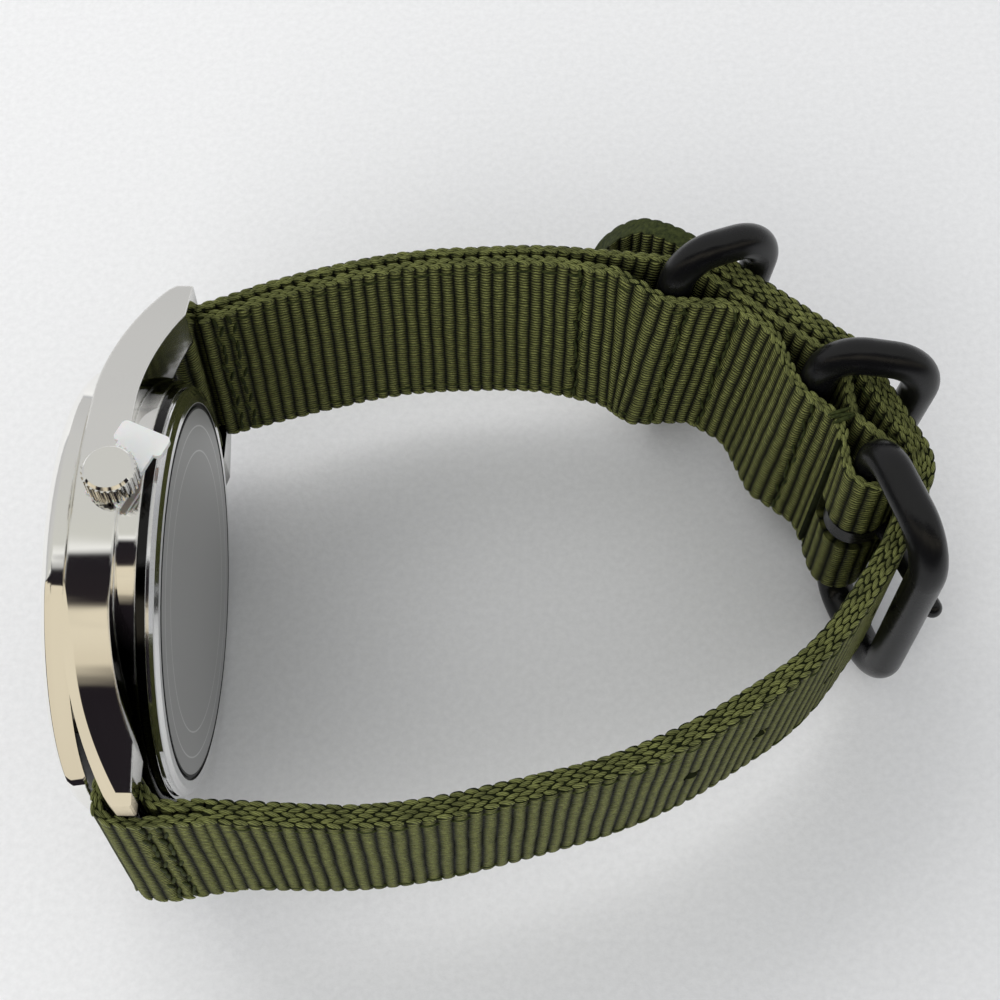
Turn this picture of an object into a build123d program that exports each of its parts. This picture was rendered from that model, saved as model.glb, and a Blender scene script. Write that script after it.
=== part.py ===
"""Field watch on a buckled two-piece nylon strap, standing on its 9 o'clock flank.

Frame, in millimetres: the origin is the middle of the case back's outer face. +X runs from the
dial to the wrist, +Y to 12 o'clock and +Z to the crown, which is also up. Heights in the case are
measured from the case back's outer face towards the glass, so a height h lies at x = -h.
"""

import os
from math import asin, atan2, cos, degrees, hypot, pi, radians, sin, sqrt, tan

from build123d import *

os.makedirs("parts", exist_ok=True)

# Case: heights from the case back's outer face, then the steps from one height to the next
rim_front_height = 0.85
rim_seam = 0.2
tier_back_height = 1.6
flank_back_height = 3.3
flank_height = 3.6
bezel_seat = 0.25
bezel_side_height = 1.1
bezel_height = 2.15
glass_rise = 0.15
dial_seat_depth = 0.75
ledge_depth = 0.95

# Case: its radius about the X axis, and the widths that set every other radius from it
case_radius = 19.3
bezel_overhang = 0.25
bezel_width = 3.25
bezel_dome_width = 2.6
bezel_dome_drop = 0.35
bezel_dome_inset = 0.55
tier_step = 0.6
rim_step = 0.3
back_wall = 3.0
holder_ledge_width = 1.5
dial_margin = 0.4
chapter_ring_width = 1.2
edge_break = 0.15
seat_clearance = 0.05
flat_clearance = 0.1

# Lugs and spring bars
bar_margin = 2.3
lug_tip_margin = 2.6
lug_side_clearance = 0.2
lug_tip_width = 2.5
lug_root_angle = 10.0
lug_crest_drop = 1.45
lug_tip_front_height = 3.0
lug_tip_back_height = 0.85
lug_tip_break = 0.65
lug_belly_height = 2.45
bar_height = 2.6
bar_radius = 0.75
bar_bore_radius = 0.5
bar_end_length = 1.8
tip_radius = 0.45
tip_pin_radius = 0.4
tip_collar_radius = 0.75
tip_collar_length = 0.25
tip_inside_length = 2.6
tip_pin_depth = 1.1
lug_hole_radius = 0.5
lug_hole_depth = 1.4

# Crown, stem and crown stopper
crown_drop = 1.15
crown_radius = 2.2
crown_length = 2.1
crown_gap = 0.75
crown_flutes = 28
flute_radius = 0.16
crown_bevel = 0.28
crown_skirt_depth = 1.35
tube_radius = 0.95
tube_bore_radius = 0.5
tube_inner_length = 2.9
tube_outer_length = 1.15
stem_radius = 0.42
stem_head = 0.9
stopper_thickness = 0.45
stopper_width = 4.4
stopper_head_depth = 2.0
stopper_corner_share = 0.11
stopper_neck_width = 3.2
stopper_reach = 5.4
stopper_prong_reach = 1.7
stopper_slot_clearance = 0.12
stopper_angle = 66.0

# Dial, glass and hands
dial_thickness = 0.4
glass_thickness = 1.3
gasket_width = 0.4
arbor_hole_radius = 1.0
hour_hand_width = 1.7
minute_hand_width = 1.3
hand_tail = 2.2
second_hand_tail = 4.4
second_hand_width = 0.32
hand_thickness = 0.14
second_hand_thickness = 0.1
hub_radius = 1.15
hand_pitch = 0.27
hour_hand_lift = 0.23
hour_hand_angle = 304.8
minute_hand_angle = 57.6
second_hand_angle = 216.0
shaft_radius = 0.2
pipe_wall = 0.2

# Movement
holder_width = 3.15
plate_thickness = 1.3
holder_back_height = 2.4
bridge_step = 0.35
bridge_thickness = 1.5
battery_thickness = 2.05
coil_radius = 1.0
board_thickness = 0.25

# Strap: webbing sizes, and its bends as radii of the middle line
strap_width = 19.8
ply_thickness = 1.1
long_strap_thickness = 2.3
ply_gap = 0.15
selvedge_width = 0.5
selvedge_bevel = 0.22
strap_eye_clearance = 0.1
fold_reach = 1.3
fold_radius = 2.3
rejoin_length = 5.3
part_length = 6.0
flap_overrun = 2.0
prong_slot_reach = 3.6
prong_slot_width = 3.2
strap_hole_radius = 0.9
tight_bend = 3.0

# Buckle, prong and keeper rings, all bent from one rod
rod_radius = 1.65
rod_clearance = 0.2
ring_bar_distance = 8.9
ring_overreach = 8.7
ring_near_corner = 3.3
ring_far_corner = 3.5
buckle_bar_distance = 11.0
buckle_overreach = 8.9
buckle_hinge_corner = 3.0
buckle_far_corner = 4.2
prong_radius = 0.9
prong_eye_width = 1.8
prong_overhang = 0.1
prong_clearance = 0.1
prong_hole_clearance = 0.4
prong_eye_offset = 1.8
ring_1_angle = -5.0
ring_2_angle = 24.5
buckle_angle = -70.8
ring_1_lean = 5.0
ring_2_lean = 7.0
ring_1_lift = 0.7
ring_2_lift = 0.4
buckle_lift = -0.35

# Lug places as shares of the reach to the lug's end; groove, hands, battery and coil as shares
lug_front_start_share = 0.434
lug_crest_share = 0.740
lug_corner_share = 0.971
lug_belly_end_share = 0.818
lug_belly_share = 0.624
lug_belly_start_share = 0.393
groove_share = 0.907
hour_hand_share = 0.541
minute_hand_share = 0.792
second_hand_share = 0.855
stem_inner_share = 0.481
battery_share = 0.408
coil_share = 0.635
coil_core_share = 0.841

# The loop's reach, span and wide bends as shares of the spring bars' reach
strap_reach_share = 3.0556
strap_span_share = 2.5926
soft_bend_share = 2.083
firm_bend_share = 1.111

# Places on the loop's plan, as shares of the strap's reach from the spring bars and of its span
ring_2_bar_share = (0.6727, 0.4839)
ring_1_bar_share = (0.8652, 0.3143)
hinge_bar_share = (0.9379, 0.1536)
short_strap_shares = ((0.1455, 0.4643), (0.2970, 0.5180), (0.5015, 0.5300))
tunnel_mouth_share = (0.6045, 0.5020)
long_strap_shares = (
    (0.0318, -0.4179), (0.3273, -0.4214), (0.6455, -0.3196), (0.8576, -0.1536), (0.9560, 0.0179)
)
tail_bend_share = (0.6455, 0.6080)
tail_end_share = (0.5970, 0.6250)
short_strap_lean = (3.0, 3.5, 5.0)
punched_hole_shares = (2.62, 2.20, 3.16, 3.80)
mouth_lean = 6.5
long_strap_lean = (0.0, 2.5, 4.0, 3.0, 0.0)
tail_lean = 8.0

# Heights, radii and lengths that follow from the sizes above
flank_front_height = flank_back_height + flank_height
bezel_seat_height = flank_front_height + bezel_seat
bezel_edge_height = flank_front_height + bezel_side_height
bezel_front_height = flank_front_height + bezel_height
glass_top_height = bezel_front_height + glass_rise
dial_back_height = flank_front_height - dial_seat_depth
dial_front_height = dial_back_height + dial_thickness
ledge_back_height = dial_back_height - ledge_depth
plate_back_height = dial_back_height - plate_thickness
lug_crest_height = flank_front_height - lug_crest_drop
hour_hand_height = dial_front_height + hour_hand_lift
minute_hand_height = hour_hand_height + hand_pitch
second_hand_height = minute_hand_height + hand_pitch
bezel_radius = case_radius + bezel_overhang
tier_radius = case_radius - tier_step
rim_radius = tier_radius - rim_step
glass_radius = bezel_radius - bezel_width
dial_radius = glass_radius - dial_margin
chapter_ring_inner_radius = dial_radius - chapter_ring_width
back_bore_radius = case_radius - back_wall
movement_bore_radius = back_bore_radius - holder_ledge_width
plate_radius = movement_bore_radius - holder_width
bridge_radius = plate_radius - bridge_step
battery_radius = battery_share * plate_radius
coil_length = coil_share * plate_radius
coil_core_length = coil_core_share * plate_radius
stem_inner_end = stem_inner_share * plate_radius
hour_hand_length = hour_hand_share * dial_radius
minute_hand_length = minute_hand_share * dial_radius
second_hand_length = second_hand_share * dial_radius
bar_reach = case_radius + bar_margin
lug_end = bar_reach + lug_tip_margin
lug_gap = strap_width + 2 * lug_side_clearance
lug_tip_outer = lug_gap / 2 + lug_tip_width
bar_tube_length = lug_gap - 2 * bar_end_length
strap_reach = strap_reach_share * bar_reach
strap_span = strap_span_share * bar_reach
soft_bend = soft_bend_share * bar_reach
firm_bend = firm_bend_share * bar_reach
ring_height = strap_width + ring_overreach
buckle_height = strap_width + buckle_overreach


def hand_in(piece, name):
    """Label a finished piece and write it as its own file."""
    piece.part.label = name
    export_step(piece.part, f"parts/{name}.step")


def turned(*section):
    """A piece turned about the watch's axis from its half section of (height, radius) points."""
    with BuildPart() as piece:
        with BuildSketch(Plane.XY):
            with BuildLine():
                Polyline(*[(-height, radius) for height, radius in section], close=True)
            make_face()
        revolve(axis=Axis.X)
    return piece


# Case back: a press-fit lid with a bevelled rim, a thin groove and a flat disc
groove_radius = groove_share * rim_radius
groove_width = 0.25
groove_depth = 0.15
lid_thickness = 0.8
lid_lip_wall = 0.8
lid_lip_depth = 0.75
seam_height = rim_front_height - rim_seam
with BuildPart() as caseback:
    with BuildSketch(Plane.XY):
        with BuildLine():
            Polyline(
                (0, 0),
                (0, groove_radius - groove_width),
                (-groove_depth, groove_radius - groove_width),
                (-groove_depth, groove_radius),
                (0, groove_radius),
                (0, groove_radius + 3 * groove_width),
                (-seam_height / 2, rim_radius - 2 * edge_break),
                (-seam_height, rim_radius - 2 * edge_break),
                (-seam_height, rim_radius - 4 * edge_break),
                (-rim_front_height, rim_radius - 4 * edge_break),
                (-rim_front_height, rim_radius),
                (-tier_back_height, rim_radius),
                (-tier_back_height, back_bore_radius - seat_clearance),
                (-tier_back_height - lid_lip_depth, back_bore_radius - seat_clearance),
                (-tier_back_height - lid_lip_depth, back_bore_radius - lid_lip_wall),
                (-lid_thickness, back_bore_radius - lid_lip_wall),
                (-lid_thickness, 0),
                close=True,
            )
        make_face()
    revolve(axis=Axis.X)
hand_in(caseback, "caseback")

# Case back gasket, in its counterbore of the middle case
gasket_section = 0.45
caseback_gasket = turned(
    (tier_back_height + flat_clearance / 2, back_bore_radius),
    (tier_back_height + flat_clearance / 2, back_bore_radius + gasket_section),
    (tier_back_height + gasket_section, back_bore_radius + gasket_section),
    (tier_back_height + gasket_section, back_bore_radius),
)
hand_in(caseback_gasket, "caseback_gasket")

# Middle case: a round barrel with a lower tier behind it, and four lugs that run off its flank
dial_recess_radius = dial_radius + seat_clearance
half_gap = lug_gap / 2
root_y = case_radius * sin(radians(lug_root_angle))
root_z = case_radius * cos(radians(lug_root_angle))
root_way = (cos(radians(lug_root_angle)), -sin(radians(lug_root_angle)))
crown_x = -(plate_back_height - crown_drop)
bar_x = -bar_height
with BuildPart() as mid_case:
    # Seen from the dial, each lug leaves the round flank smoothly and runs to its tip
    with BuildSketch(Plane.YZ.offset(-flank_front_height)):
        with BuildLine():
            Line((0, root_z), (root_y, root_z))
            TangentArc((root_y, root_z), (lug_end, lug_tip_outer), tangent=root_way)
            Line((lug_end, lug_tip_outer), (lug_end, half_gap))
            Line((lug_end, half_gap), (0, half_gap))
            Line((0, half_gap), (0, root_z))
        make_face()
        mirror(about=Plane.YZ)
        mirror(about=Plane.XZ)
    extrude(amount=flank_front_height)
    # Seen from the side, each lug's front arches down to a blunt tip and its belly sweeps up to it
    front_start = (-flank_front_height, lug_front_start_share * lug_end)
    front_corner = (-lug_tip_front_height, lug_corner_share * lug_end)
    tip_front = (-lug_tip_front_height + lug_tip_break, lug_end)
    tip_back = (-lug_tip_back_height, lug_end - edge_break)
    belly_end = (-lug_tip_back_height, lug_belly_end_share * lug_end)
    belly_start = (-flank_back_height, lug_belly_start_share * lug_end)
    with BuildSketch(Plane.XY):
        with BuildLine():
            Line((-flank_front_height, 0), front_start)
            ThreePointArc(front_start, (-lug_crest_height, lug_crest_share * lug_end), front_corner)
            Polyline(
                front_corner, tip_front, (-lug_tip_back_height - edge_break, lug_end), tip_back, belly_end
            )
            ThreePointArc(belly_end, (-lug_belly_height, lug_belly_share * lug_end), belly_start)
            Line(belly_start, (-flank_back_height, 0))
            Line((-flank_back_height, 0), (-flank_front_height, 0))
        make_face()
        mirror(about=Plane.XZ)
    extrude(amount=lug_end, both=True, mode=Mode.INTERSECT)
    # The barrel and its lower tier
    with BuildSketch(Plane.XY):
        with BuildLine():
            Polyline(
                (-flank_front_height, 0),
                (-flank_front_height, case_radius - edge_break),
                (-flank_front_height + edge_break, case_radius),
                (-flank_back_height - edge_break, case_radius),
                (-flank_back_height, case_radius - edge_break),
                (-flank_back_height, tier_radius),
                (-tier_back_height, tier_radius),
                (-tier_back_height, 0),
                close=True,
            )
        make_face()
    revolve(axis=Axis.X)
    # Dial recess at the front, movement bore, and back bore with the gasket's counterbore
    with BuildSketch(Plane.XY):
        with BuildLine():
            Polyline(
                (-flank_front_height - edge_break, 0),
                (-flank_front_height - edge_break, dial_recess_radius),
                (-dial_back_height, dial_recess_radius),
                (-dial_back_height, movement_bore_radius),
                (-ledge_back_height, movement_bore_radius),
                (-ledge_back_height, back_bore_radius),
                (-tier_back_height - gasket_section, back_bore_radius),
                (-tier_back_height - gasket_section, back_bore_radius + gasket_section + seat_clearance),
                (-tier_back_height + edge_break, back_bore_radius + gasket_section + seat_clearance),
                (-tier_back_height + edge_break, 0),
                close=True,
            )
        make_face()
    revolve(axis=Axis.X, mode=Mode.SUBTRACT)
    # Blind spring bar holes in the four lugs, and the crown tube's hole
    for end in (-1, 1):
        for side in (-1, 1):
            floor_z = side * (half_gap + lug_hole_depth)
            hole_floor = Plane(origin=(bar_x, end * bar_reach, floor_z), z_dir=(0, 0, -side))
            with BuildSketch(hole_floor):
                Circle(lug_hole_radius)
            extrude(amount=lug_hole_depth + edge_break, mode=Mode.SUBTRACT)
    with BuildSketch(Plane.XY.offset(back_bore_radius - lid_lip_wall)):
        with Locations((crown_x, 0)):
            Circle(tube_radius)
    extrude(amount=case_radius, mode=Mode.SUBTRACT)
hand_in(mid_case, "mid_case")

# Bezel: a turned ring with a softly rounded outer edge
glass_bore_radius = glass_radius + gasket_width + seat_clearance
bezel_lip_radius = glass_radius + seat_clearance
with BuildPart() as bezel:
    with BuildSketch(Plane.XY):
        with BuildLine():
            Polyline(
                (-bezel_front_height, bezel_radius - bezel_dome_width),
                (-bezel_front_height, glass_bore_radius),
                (-bezel_seat_height, glass_bore_radius),
                (-bezel_seat_height, bezel_lip_radius),
                (-flank_front_height, bezel_lip_radius),
                (-flank_front_height, case_radius - edge_break),
                (-flank_front_height - edge_break, bezel_radius - edge_break),
                (-bezel_edge_height, bezel_radius),
            )
            ThreePointArc(
                (-bezel_edge_height, bezel_radius),
                (-bezel_front_height + bezel_dome_drop, bezel_radius - bezel_dome_inset),
                (-bezel_front_height, bezel_radius - bezel_dome_width),
            )
        make_face()
    revolve(axis=Axis.X)
hand_in(bezel, "bezel")

# Glass with a bevelled edge, its gasket, and the chapter ring between glass and dial
glass_back_height = glass_top_height - glass_thickness
crystal = turned(
    (glass_back_height, 0),
    (glass_back_height, glass_radius),
    (glass_top_height - edge_break, glass_radius),
    (glass_top_height, glass_radius - edge_break),
    (glass_top_height, 0),
)
hand_in(crystal, "crystal")
crystal_gasket = turned(
    (bezel_seat_height, glass_radius + seat_clearance / 2),
    (bezel_seat_height, glass_radius + gasket_width),
    (bezel_front_height - edge_break, glass_radius + gasket_width),
    (bezel_front_height - edge_break, glass_radius + seat_clearance / 2),
)
hand_in(crystal_gasket, "crystal_gasket")
chapter_ring = turned(
    (dial_front_height, chapter_ring_inner_radius),
    (dial_front_height, dial_radius),
    (glass_back_height - seat_clearance, dial_radius),
    (glass_back_height - seat_clearance, dial_radius - 2 * edge_break),
)
hand_in(chapter_ring, "chapter_ring")

# Dial, seated in the middle case's recess
dial = turned(
    (dial_back_height, arbor_hole_radius),
    (dial_back_height, dial_radius),
    (dial_front_height, dial_radius),
    (dial_front_height, arbor_hole_radius),
)
hand_in(dial, "dial")

# Movement holder: a stepped plastic ring that fills the bores round the movement
holder_bore_radius = plate_radius + seat_clearance
with BuildPart() as movement_holder:
    with BuildSketch(Plane.XY):
        with BuildLine():
            Polyline(
                (-dial_back_height, holder_bore_radius),
                (-dial_back_height, movement_bore_radius - seat_clearance),
                (-ledge_back_height, movement_bore_radius - seat_clearance),
                (-ledge_back_height, back_bore_radius - lid_lip_wall - seat_clearance),
                (-holder_back_height, back_bore_radius - lid_lip_wall - seat_clearance),
                (-holder_back_height, holder_bore_radius),
                close=True,
            )
        make_face()
    revolve(axis=Axis.X)
    with BuildSketch(Plane.XY.offset(stem_inner_end)):
        with Locations((crown_x, 0)):
            Circle(tube_radius + flat_clearance)
    extrude(amount=case_radius, mode=Mode.SUBTRACT)
hand_in(movement_holder, "movement_holder")

# Movement main plate, with the hole for the hands' arbors and two feet pockets
with BuildPart() as movement_plate:
    with BuildSketch(Plane.YZ.offset(-plate_back_height)):
        Circle(plate_radius)
        Circle(arbor_hole_radius, mode=Mode.SUBTRACT)
        with PolarLocations(0.88 * plate_radius, 3, start_angle=70):
            Circle(arbor_hole_radius / 2, mode=Mode.SUBTRACT)
    extrude(amount=-plate_thickness)
hand_in(movement_plate, "movement_plate")

# Circuit board on the plate's back, cut clear of the stem and the bridge
stem_corridor = 3 * tube_radius
corridor_middle = stem_inner_end - 3 * flat_clearance + plate_radius / 2
board_back_height = plate_back_height - board_thickness
battery_y = -(battery_radius + flat_clearance + arbor_hole_radius)
battery_z = -0.62 * battery_radius
with BuildPart() as circuit_board:
    with BuildSketch(Plane.YZ.offset(-board_back_height)):
        Circle(bridge_radius)
        with Locations((plate_radius, 0)):
            Rectangle(2 * plate_radius, 2 * plate_radius, mode=Mode.SUBTRACT)
        with Locations((0, corridor_middle)):
            Rectangle(stem_corridor, plate_radius, mode=Mode.SUBTRACT)
        Circle(2 * arbor_hole_radius, mode=Mode.SUBTRACT)
    extrude(amount=-board_thickness)
hand_in(circuit_board, "circuit_board")

# Train bridge on the plate's other half, with jewel holes and screw seats
bridge_back_height = plate_back_height - bridge_thickness
with BuildPart() as train_bridge:
    with BuildSketch(Plane.YZ.offset(-bridge_back_height)):
        Circle(bridge_radius)
        with Locations((-plate_radius + flat_clearance, 0)):
            Rectangle(2 * plate_radius, 2 * plate_radius, mode=Mode.SUBTRACT)
        with Locations((0, corridor_middle)):
            Rectangle(stem_corridor, plate_radius, mode=Mode.SUBTRACT)
        Circle(1.5 * arbor_hole_radius, mode=Mode.SUBTRACT)
        with Locations(
            (0.35 * bridge_radius, 0.1 * bridge_radius), (0.5 * bridge_radius, -0.45 * bridge_radius)
        ):
            Circle(0.4 * arbor_hole_radius, mode=Mode.SUBTRACT)
    extrude(amount=-bridge_thickness)
    chamfer(train_bridge.faces().sort_by(Axis.X)[-1].outer_wire().edges(), edge_break)
hand_in(train_bridge, "train_bridge")

# Battery on the board, and the stepping motor's coil beside it on its core
with BuildPart() as battery:
    with BuildSketch(Plane.YZ.offset(-board_back_height)):
        with Locations((battery_y, battery_z)):
            Circle(battery_radius)
    extrude(amount=battery_thickness)
    chamfer(battery.edges().filter_by(GeomType.CIRCLE), edge_break)
hand_in(battery, "battery")
coil_y = battery_y
coil_z = battery_z + battery_radius + coil_radius + 4 * flat_clearance
coil_x = -board_back_height + coil_radius
with BuildPart() as coil:
    with BuildSketch(Plane(origin=(coil_x, coil_y - coil_length / 2, coil_z), z_dir=(0, 1, 0))):
        Circle(coil_radius)
    extrude(amount=coil_length)
    with BuildSketch(Plane(origin=(coil_x, coil_y - coil_core_length / 2, coil_z), z_dir=(0, 1, 0))):
        RectangleRounded(coil_radius, 0.8 * coil_radius, 0.2 * coil_radius)
    extrude(amount=coil_core_length)
hand_in(coil, "coil")


def hand(height, length, width, thickness, turn, bore, pipe, pipe_end, tail):
    """A hand on its pipe, turned clockwise from 12 as the dial is read."""
    pointing = (0, cos(radians(turn)), sin(radians(turn)))
    dial_plane = Plane(origin=(-height, 0, 0), x_dir=pointing, z_dir=(-1, 0, 0))
    with BuildPart() as piece:
        with BuildSketch(dial_plane):
            Circle(hub_radius)
            with BuildLine():
                Polyline(
                    (-tail, -width / 4),
                    (-tail, width / 4),
                    (0, width / 4),
                    (0.62 * length, width / 2),
                    (0.86 * length, width / 2),
                    (length, 0),
                    (0.86 * length, -width / 2),
                    (0.62 * length, -width / 2),
                    (0, -width / 4),
                    close=True,
                )
            make_face()
        extrude(amount=thickness)
        with BuildSketch(Plane.YZ.offset(-height)):
            Circle(pipe)
        extrude(amount=height - pipe_end)
        if bore > 0:
            with BuildSketch(Plane.YZ.offset(-height - 2 * thickness)):
                Circle(bore)
            extrude(amount=height + 2 * thickness, mode=Mode.SUBTRACT)
    return piece


# Hands: pipes that run inside each other with a running clearance
minute_bore = shaft_radius + seat_clearance
minute_pipe = minute_bore + pipe_wall
hour_bore = minute_pipe + seat_clearance
hour_pipe = hour_bore + pipe_wall
hour_hand = hand(
    hour_hand_height, hour_hand_length, hour_hand_width, hand_thickness,
    hour_hand_angle, hour_bore, hour_pipe,
    ledge_back_height, hand_tail,
)
hand_in(hour_hand, "hour_hand")
minute_hand = hand(
    minute_hand_height, minute_hand_length, minute_hand_width, hand_thickness,
    minute_hand_angle, minute_bore, minute_pipe,
    plate_back_height, hand_tail,
)
hand_in(minute_hand, "minute_hand")
second_hand = hand(
    second_hand_height, second_hand_length, second_hand_width, second_hand_thickness,
    second_hand_angle, 0, shaft_radius,
    plate_back_height, second_hand_tail,
)
hand_in(second_hand, "second_hand")

# Crown tube, pressed into the middle case
crown_bottom = case_radius + crown_gap
tube_plane = Plane.XY.offset(case_radius - tube_inner_length)
with BuildPart() as crown_tube:
    with BuildSketch(tube_plane):
        with Locations((crown_x, 0)):
            Circle(tube_radius)
            Circle(tube_bore_radius, mode=Mode.SUBTRACT)
    extrude(amount=tube_inner_length + tube_outer_length)
hand_in(crown_tube, "crown_tube")

# Crown: fluted skirt, bevelled edge and flat top, hollow where the tube enters
crown_top = crown_bottom + crown_length
crown_bore_radius = tube_radius + gasket_section
with BuildPart() as crown:
    with BuildSketch(Plane.XY.offset(crown_bottom)):
        with Locations((crown_x, 0)):
            Circle(crown_radius)
            with PolarLocations(crown_radius, crown_flutes):
                Circle(flute_radius, mode=Mode.SUBTRACT)
    extrude(amount=crown_length - crown_bevel)
    with BuildSketch(Plane.XY.offset(crown_top - crown_bevel)):
        with Locations((crown_x, 0)):
            Circle(crown_radius - flute_radius)
    extrude(amount=crown_bevel, taper=35)
    with BuildSketch(Plane.XY.offset(crown_bottom)):
        with Locations((crown_x, 0)):
            Circle(crown_bore_radius)
    extrude(amount=crown_skirt_depth, mode=Mode.SUBTRACT)
    with BuildSketch(Plane.XY.offset(crown_bottom + crown_skirt_depth)):
        with Locations((crown_x, 0)):
            Circle(stem_radius + seat_clearance)
    extrude(amount=(crown_length - crown_skirt_depth) / 2, mode=Mode.SUBTRACT)
hand_in(crown, "crown")

# Crown gasket, held in the crown's bore round the tube
with BuildPart() as crown_gasket:
    with BuildSketch(Plane.XY.offset(crown_bottom + flat_clearance)):
        with Locations((crown_x, 0)):
            Circle(crown_bore_radius)
            Circle(tube_radius + seat_clearance, mode=Mode.SUBTRACT)
    extrude(amount=crown_skirt_depth / 2)
hand_in(crown_gasket, "crown_gasket")

# Winding stem, from the movement's edge through the tube to the crown's socket
stem_top = crown_bottom + crown_skirt_depth + (crown_length - crown_skirt_depth) / 2 - seat_clearance
with BuildPart() as stem:
    with BuildSketch(Plane.XY.offset(stem_inner_end)):
        with Locations((crown_x, 0)):
            Circle(stem_radius)
    extrude(amount=stem_top - stem_inner_end)
    with BuildSketch(Plane.XY.offset(stem_inner_end + stem_head)):
        with Locations((crown_x, 0)):
            Circle(1.6 * stem_radius)
    extrude(amount=stem_head)
hand_in(stem, "stem")

# Crown stopper: a thin plastic fork between the crown and the case, its mouth round the tube
stopper_z = case_radius + flat_clearance / 2
pull = (cos(radians(stopper_angle)), sin(radians(stopper_angle)))
stopper_plane = Plane(origin=(crown_x, 0, stopper_z), x_dir=(pull[0], pull[1], 0), z_dir=(0, 0, 1))
slot_radius = tube_radius + stopper_slot_clearance
with BuildPart() as crown_stopper:
    with BuildSketch(stopper_plane) as stopper_outline:
        with Locations((stopper_reach - stopper_head_depth / 2, 0)):
            Rectangle(stopper_head_depth, stopper_width)
        fillet(stopper_outline.vertices(), stopper_corner_share * stopper_width)
        with Locations(((stopper_reach - stopper_head_depth / 2 - stopper_prong_reach) / 2, 0)):
            Rectangle(stopper_reach - stopper_head_depth / 2 + stopper_prong_reach, stopper_neck_width)
        Circle(slot_radius, mode=Mode.SUBTRACT)
        with Locations((-stopper_prong_reach, 0)):
            Rectangle(2 * stopper_prong_reach, 2 * slot_radius, mode=Mode.SUBTRACT)
    extrude(amount=stopper_thickness)
hand_in(crown_stopper, "crown_stopper")

# Spring bars: a tube with a sprung tip at each end, its collar against the lug
bar_half_tube = bar_tube_length / 2
collar_run = half_gap - seat_clearance - bar_half_tube + tip_inside_length
for bar_name, end in (("12", 1), ("6", -1)):
    with BuildPart() as bar_tube:
        with BuildSketch(Plane.XY.offset(-bar_half_tube)):
            with Locations((bar_x, end * bar_reach)):
                Circle(bar_radius)
                Circle(bar_bore_radius, mode=Mode.SUBTRACT)
        extrude(amount=bar_tube_length)
    hand_in(bar_tube, f"spring_bar_{bar_name}_tube")
    for tip_name, side in (("crown_side", 1), ("far_side", -1)):
        inner_end = Plane(
            origin=(bar_x, end * bar_reach, side * (bar_half_tube - tip_inside_length)), z_dir=(0, 0, side)
        )
        with BuildPart() as bar_tip:
            with BuildSketch(inner_end):
                Circle(tip_radius)
            extrude(amount=collar_run)
            with BuildSketch(inner_end.offset(collar_run - tip_collar_length)):
                Circle(tip_collar_radius)
            extrude(amount=tip_collar_length)
            with BuildSketch(inner_end.offset(collar_run)):
                Circle(tip_pin_radius)
            extrude(amount=tip_pin_depth + seat_clearance)
        hand_in(bar_tip, f"spring_bar_{bar_name}_tip_{tip_name}")

# The loop's plan: places, headings, and where the leaning bars cross a height
def place(share, lean=0.0, z=0.0):
    """A point of the plan, shifted outwards with height where the strap leans."""
    outward = 1 if share[1] > 0 else -1
    return Vector(bar_x + share[0] * strap_reach, share[1] * strap_span + outward * z * tan(radians(lean)))


def heading(angle):
    """The unit vector of a plan direction in degrees."""
    return Vector(cos(radians(angle)), sin(radians(angle)))


def way_between(start, end):
    """The unit vector from one plan point to another."""
    return (end - start).normalized()


def leftward(way):
    """The unit vector a quarter turn to the left of a plan direction."""
    return Vector(-way.Y, way.X)


ring_1_way = heading(ring_1_angle)
ring_2_way = heading(ring_2_angle)
buckle_way = heading(buckle_angle)
hinge_bar = place(hinge_bar_share)
spring_bar_12 = Vector(bar_x, bar_reach)
spring_bar_6 = Vector(bar_x, -bar_reach)


def ring_1_bar(z):
    """Where the first ring's strap-side bar crosses a height."""
    return place(ring_1_bar_share) + ring_1_way * (z * tan(radians(ring_1_lean)))


def ring_2_bar(z):
    """Where the second ring's strap-side bar crosses a height."""
    return place(ring_2_bar_share) + ring_2_way * (z * tan(radians(ring_2_lean)))


def corner_about(centre, before, after, distance):
    """The corner of two runs whose lines pass a centre with this distance to their left of it."""
    first = leftward(before)
    second = leftward(after)
    return centre + (first + second) * (distance / (1 + first.dot(second)))


def way_towards(start, centre, distance):
    """From a start, the way of the line that keeps a centre at a distance on its left."""
    reach = centre - start
    return heading(degrees(atan2(reach.Y, reach.X) - asin(distance / reach.length)))


def way_onwards(centre, end, distance):
    """To an end, the way of the line that leaves a centre at a distance on its left."""
    reach = end - centre
    return heading(degrees(atan2(reach.Y, reach.X) + asin(distance / reach.length)))


def beside(points, first_way, last_way, shift):
    """The corners of a line that runs beside another, this shift to its left."""
    ways = [first_way] + [way_between(a, b) for a, b in zip(points, points[1:])] + [last_way]
    return [corner_about(point, before, after, shift) for point, before, after in zip(points, ways, ways[1:])]


half_ply = ply_thickness / 2
half_double = long_strap_thickness / 2
ply_pitch = ply_thickness + ply_gap
half_width = strap_width / 2
wrap = rod_radius + rod_clearance + half_ply
tail_wrap = wrap + half_ply + ply_gap + half_double
bend_share = 0.96
wrap_bend = bend_share * wrap
tail_bend = bend_share * tail_wrap
eye_bore_radius = bar_radius + strap_eye_clearance
eye_radius = eye_bore_radius + ply_thickness
eye_middle = eye_bore_radius + half_ply


def pinch(z, side):
    """Where the two plies are tacked between ring and hinge bar; side 1 is the outer ply."""
    across = leftward(way_between(ring_1_bar(z), hinge_bar))
    return (ring_1_bar(z) + hinge_bar) * 0.5 + across * (side * ply_pitch / 2)


def short_middle(z):
    """Corners of the line between the short strap's two runs, from the case to the first tunnel."""
    return [place(share, lean, z) for share, lean in zip(short_strap_shares, short_strap_lean)]


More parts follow.
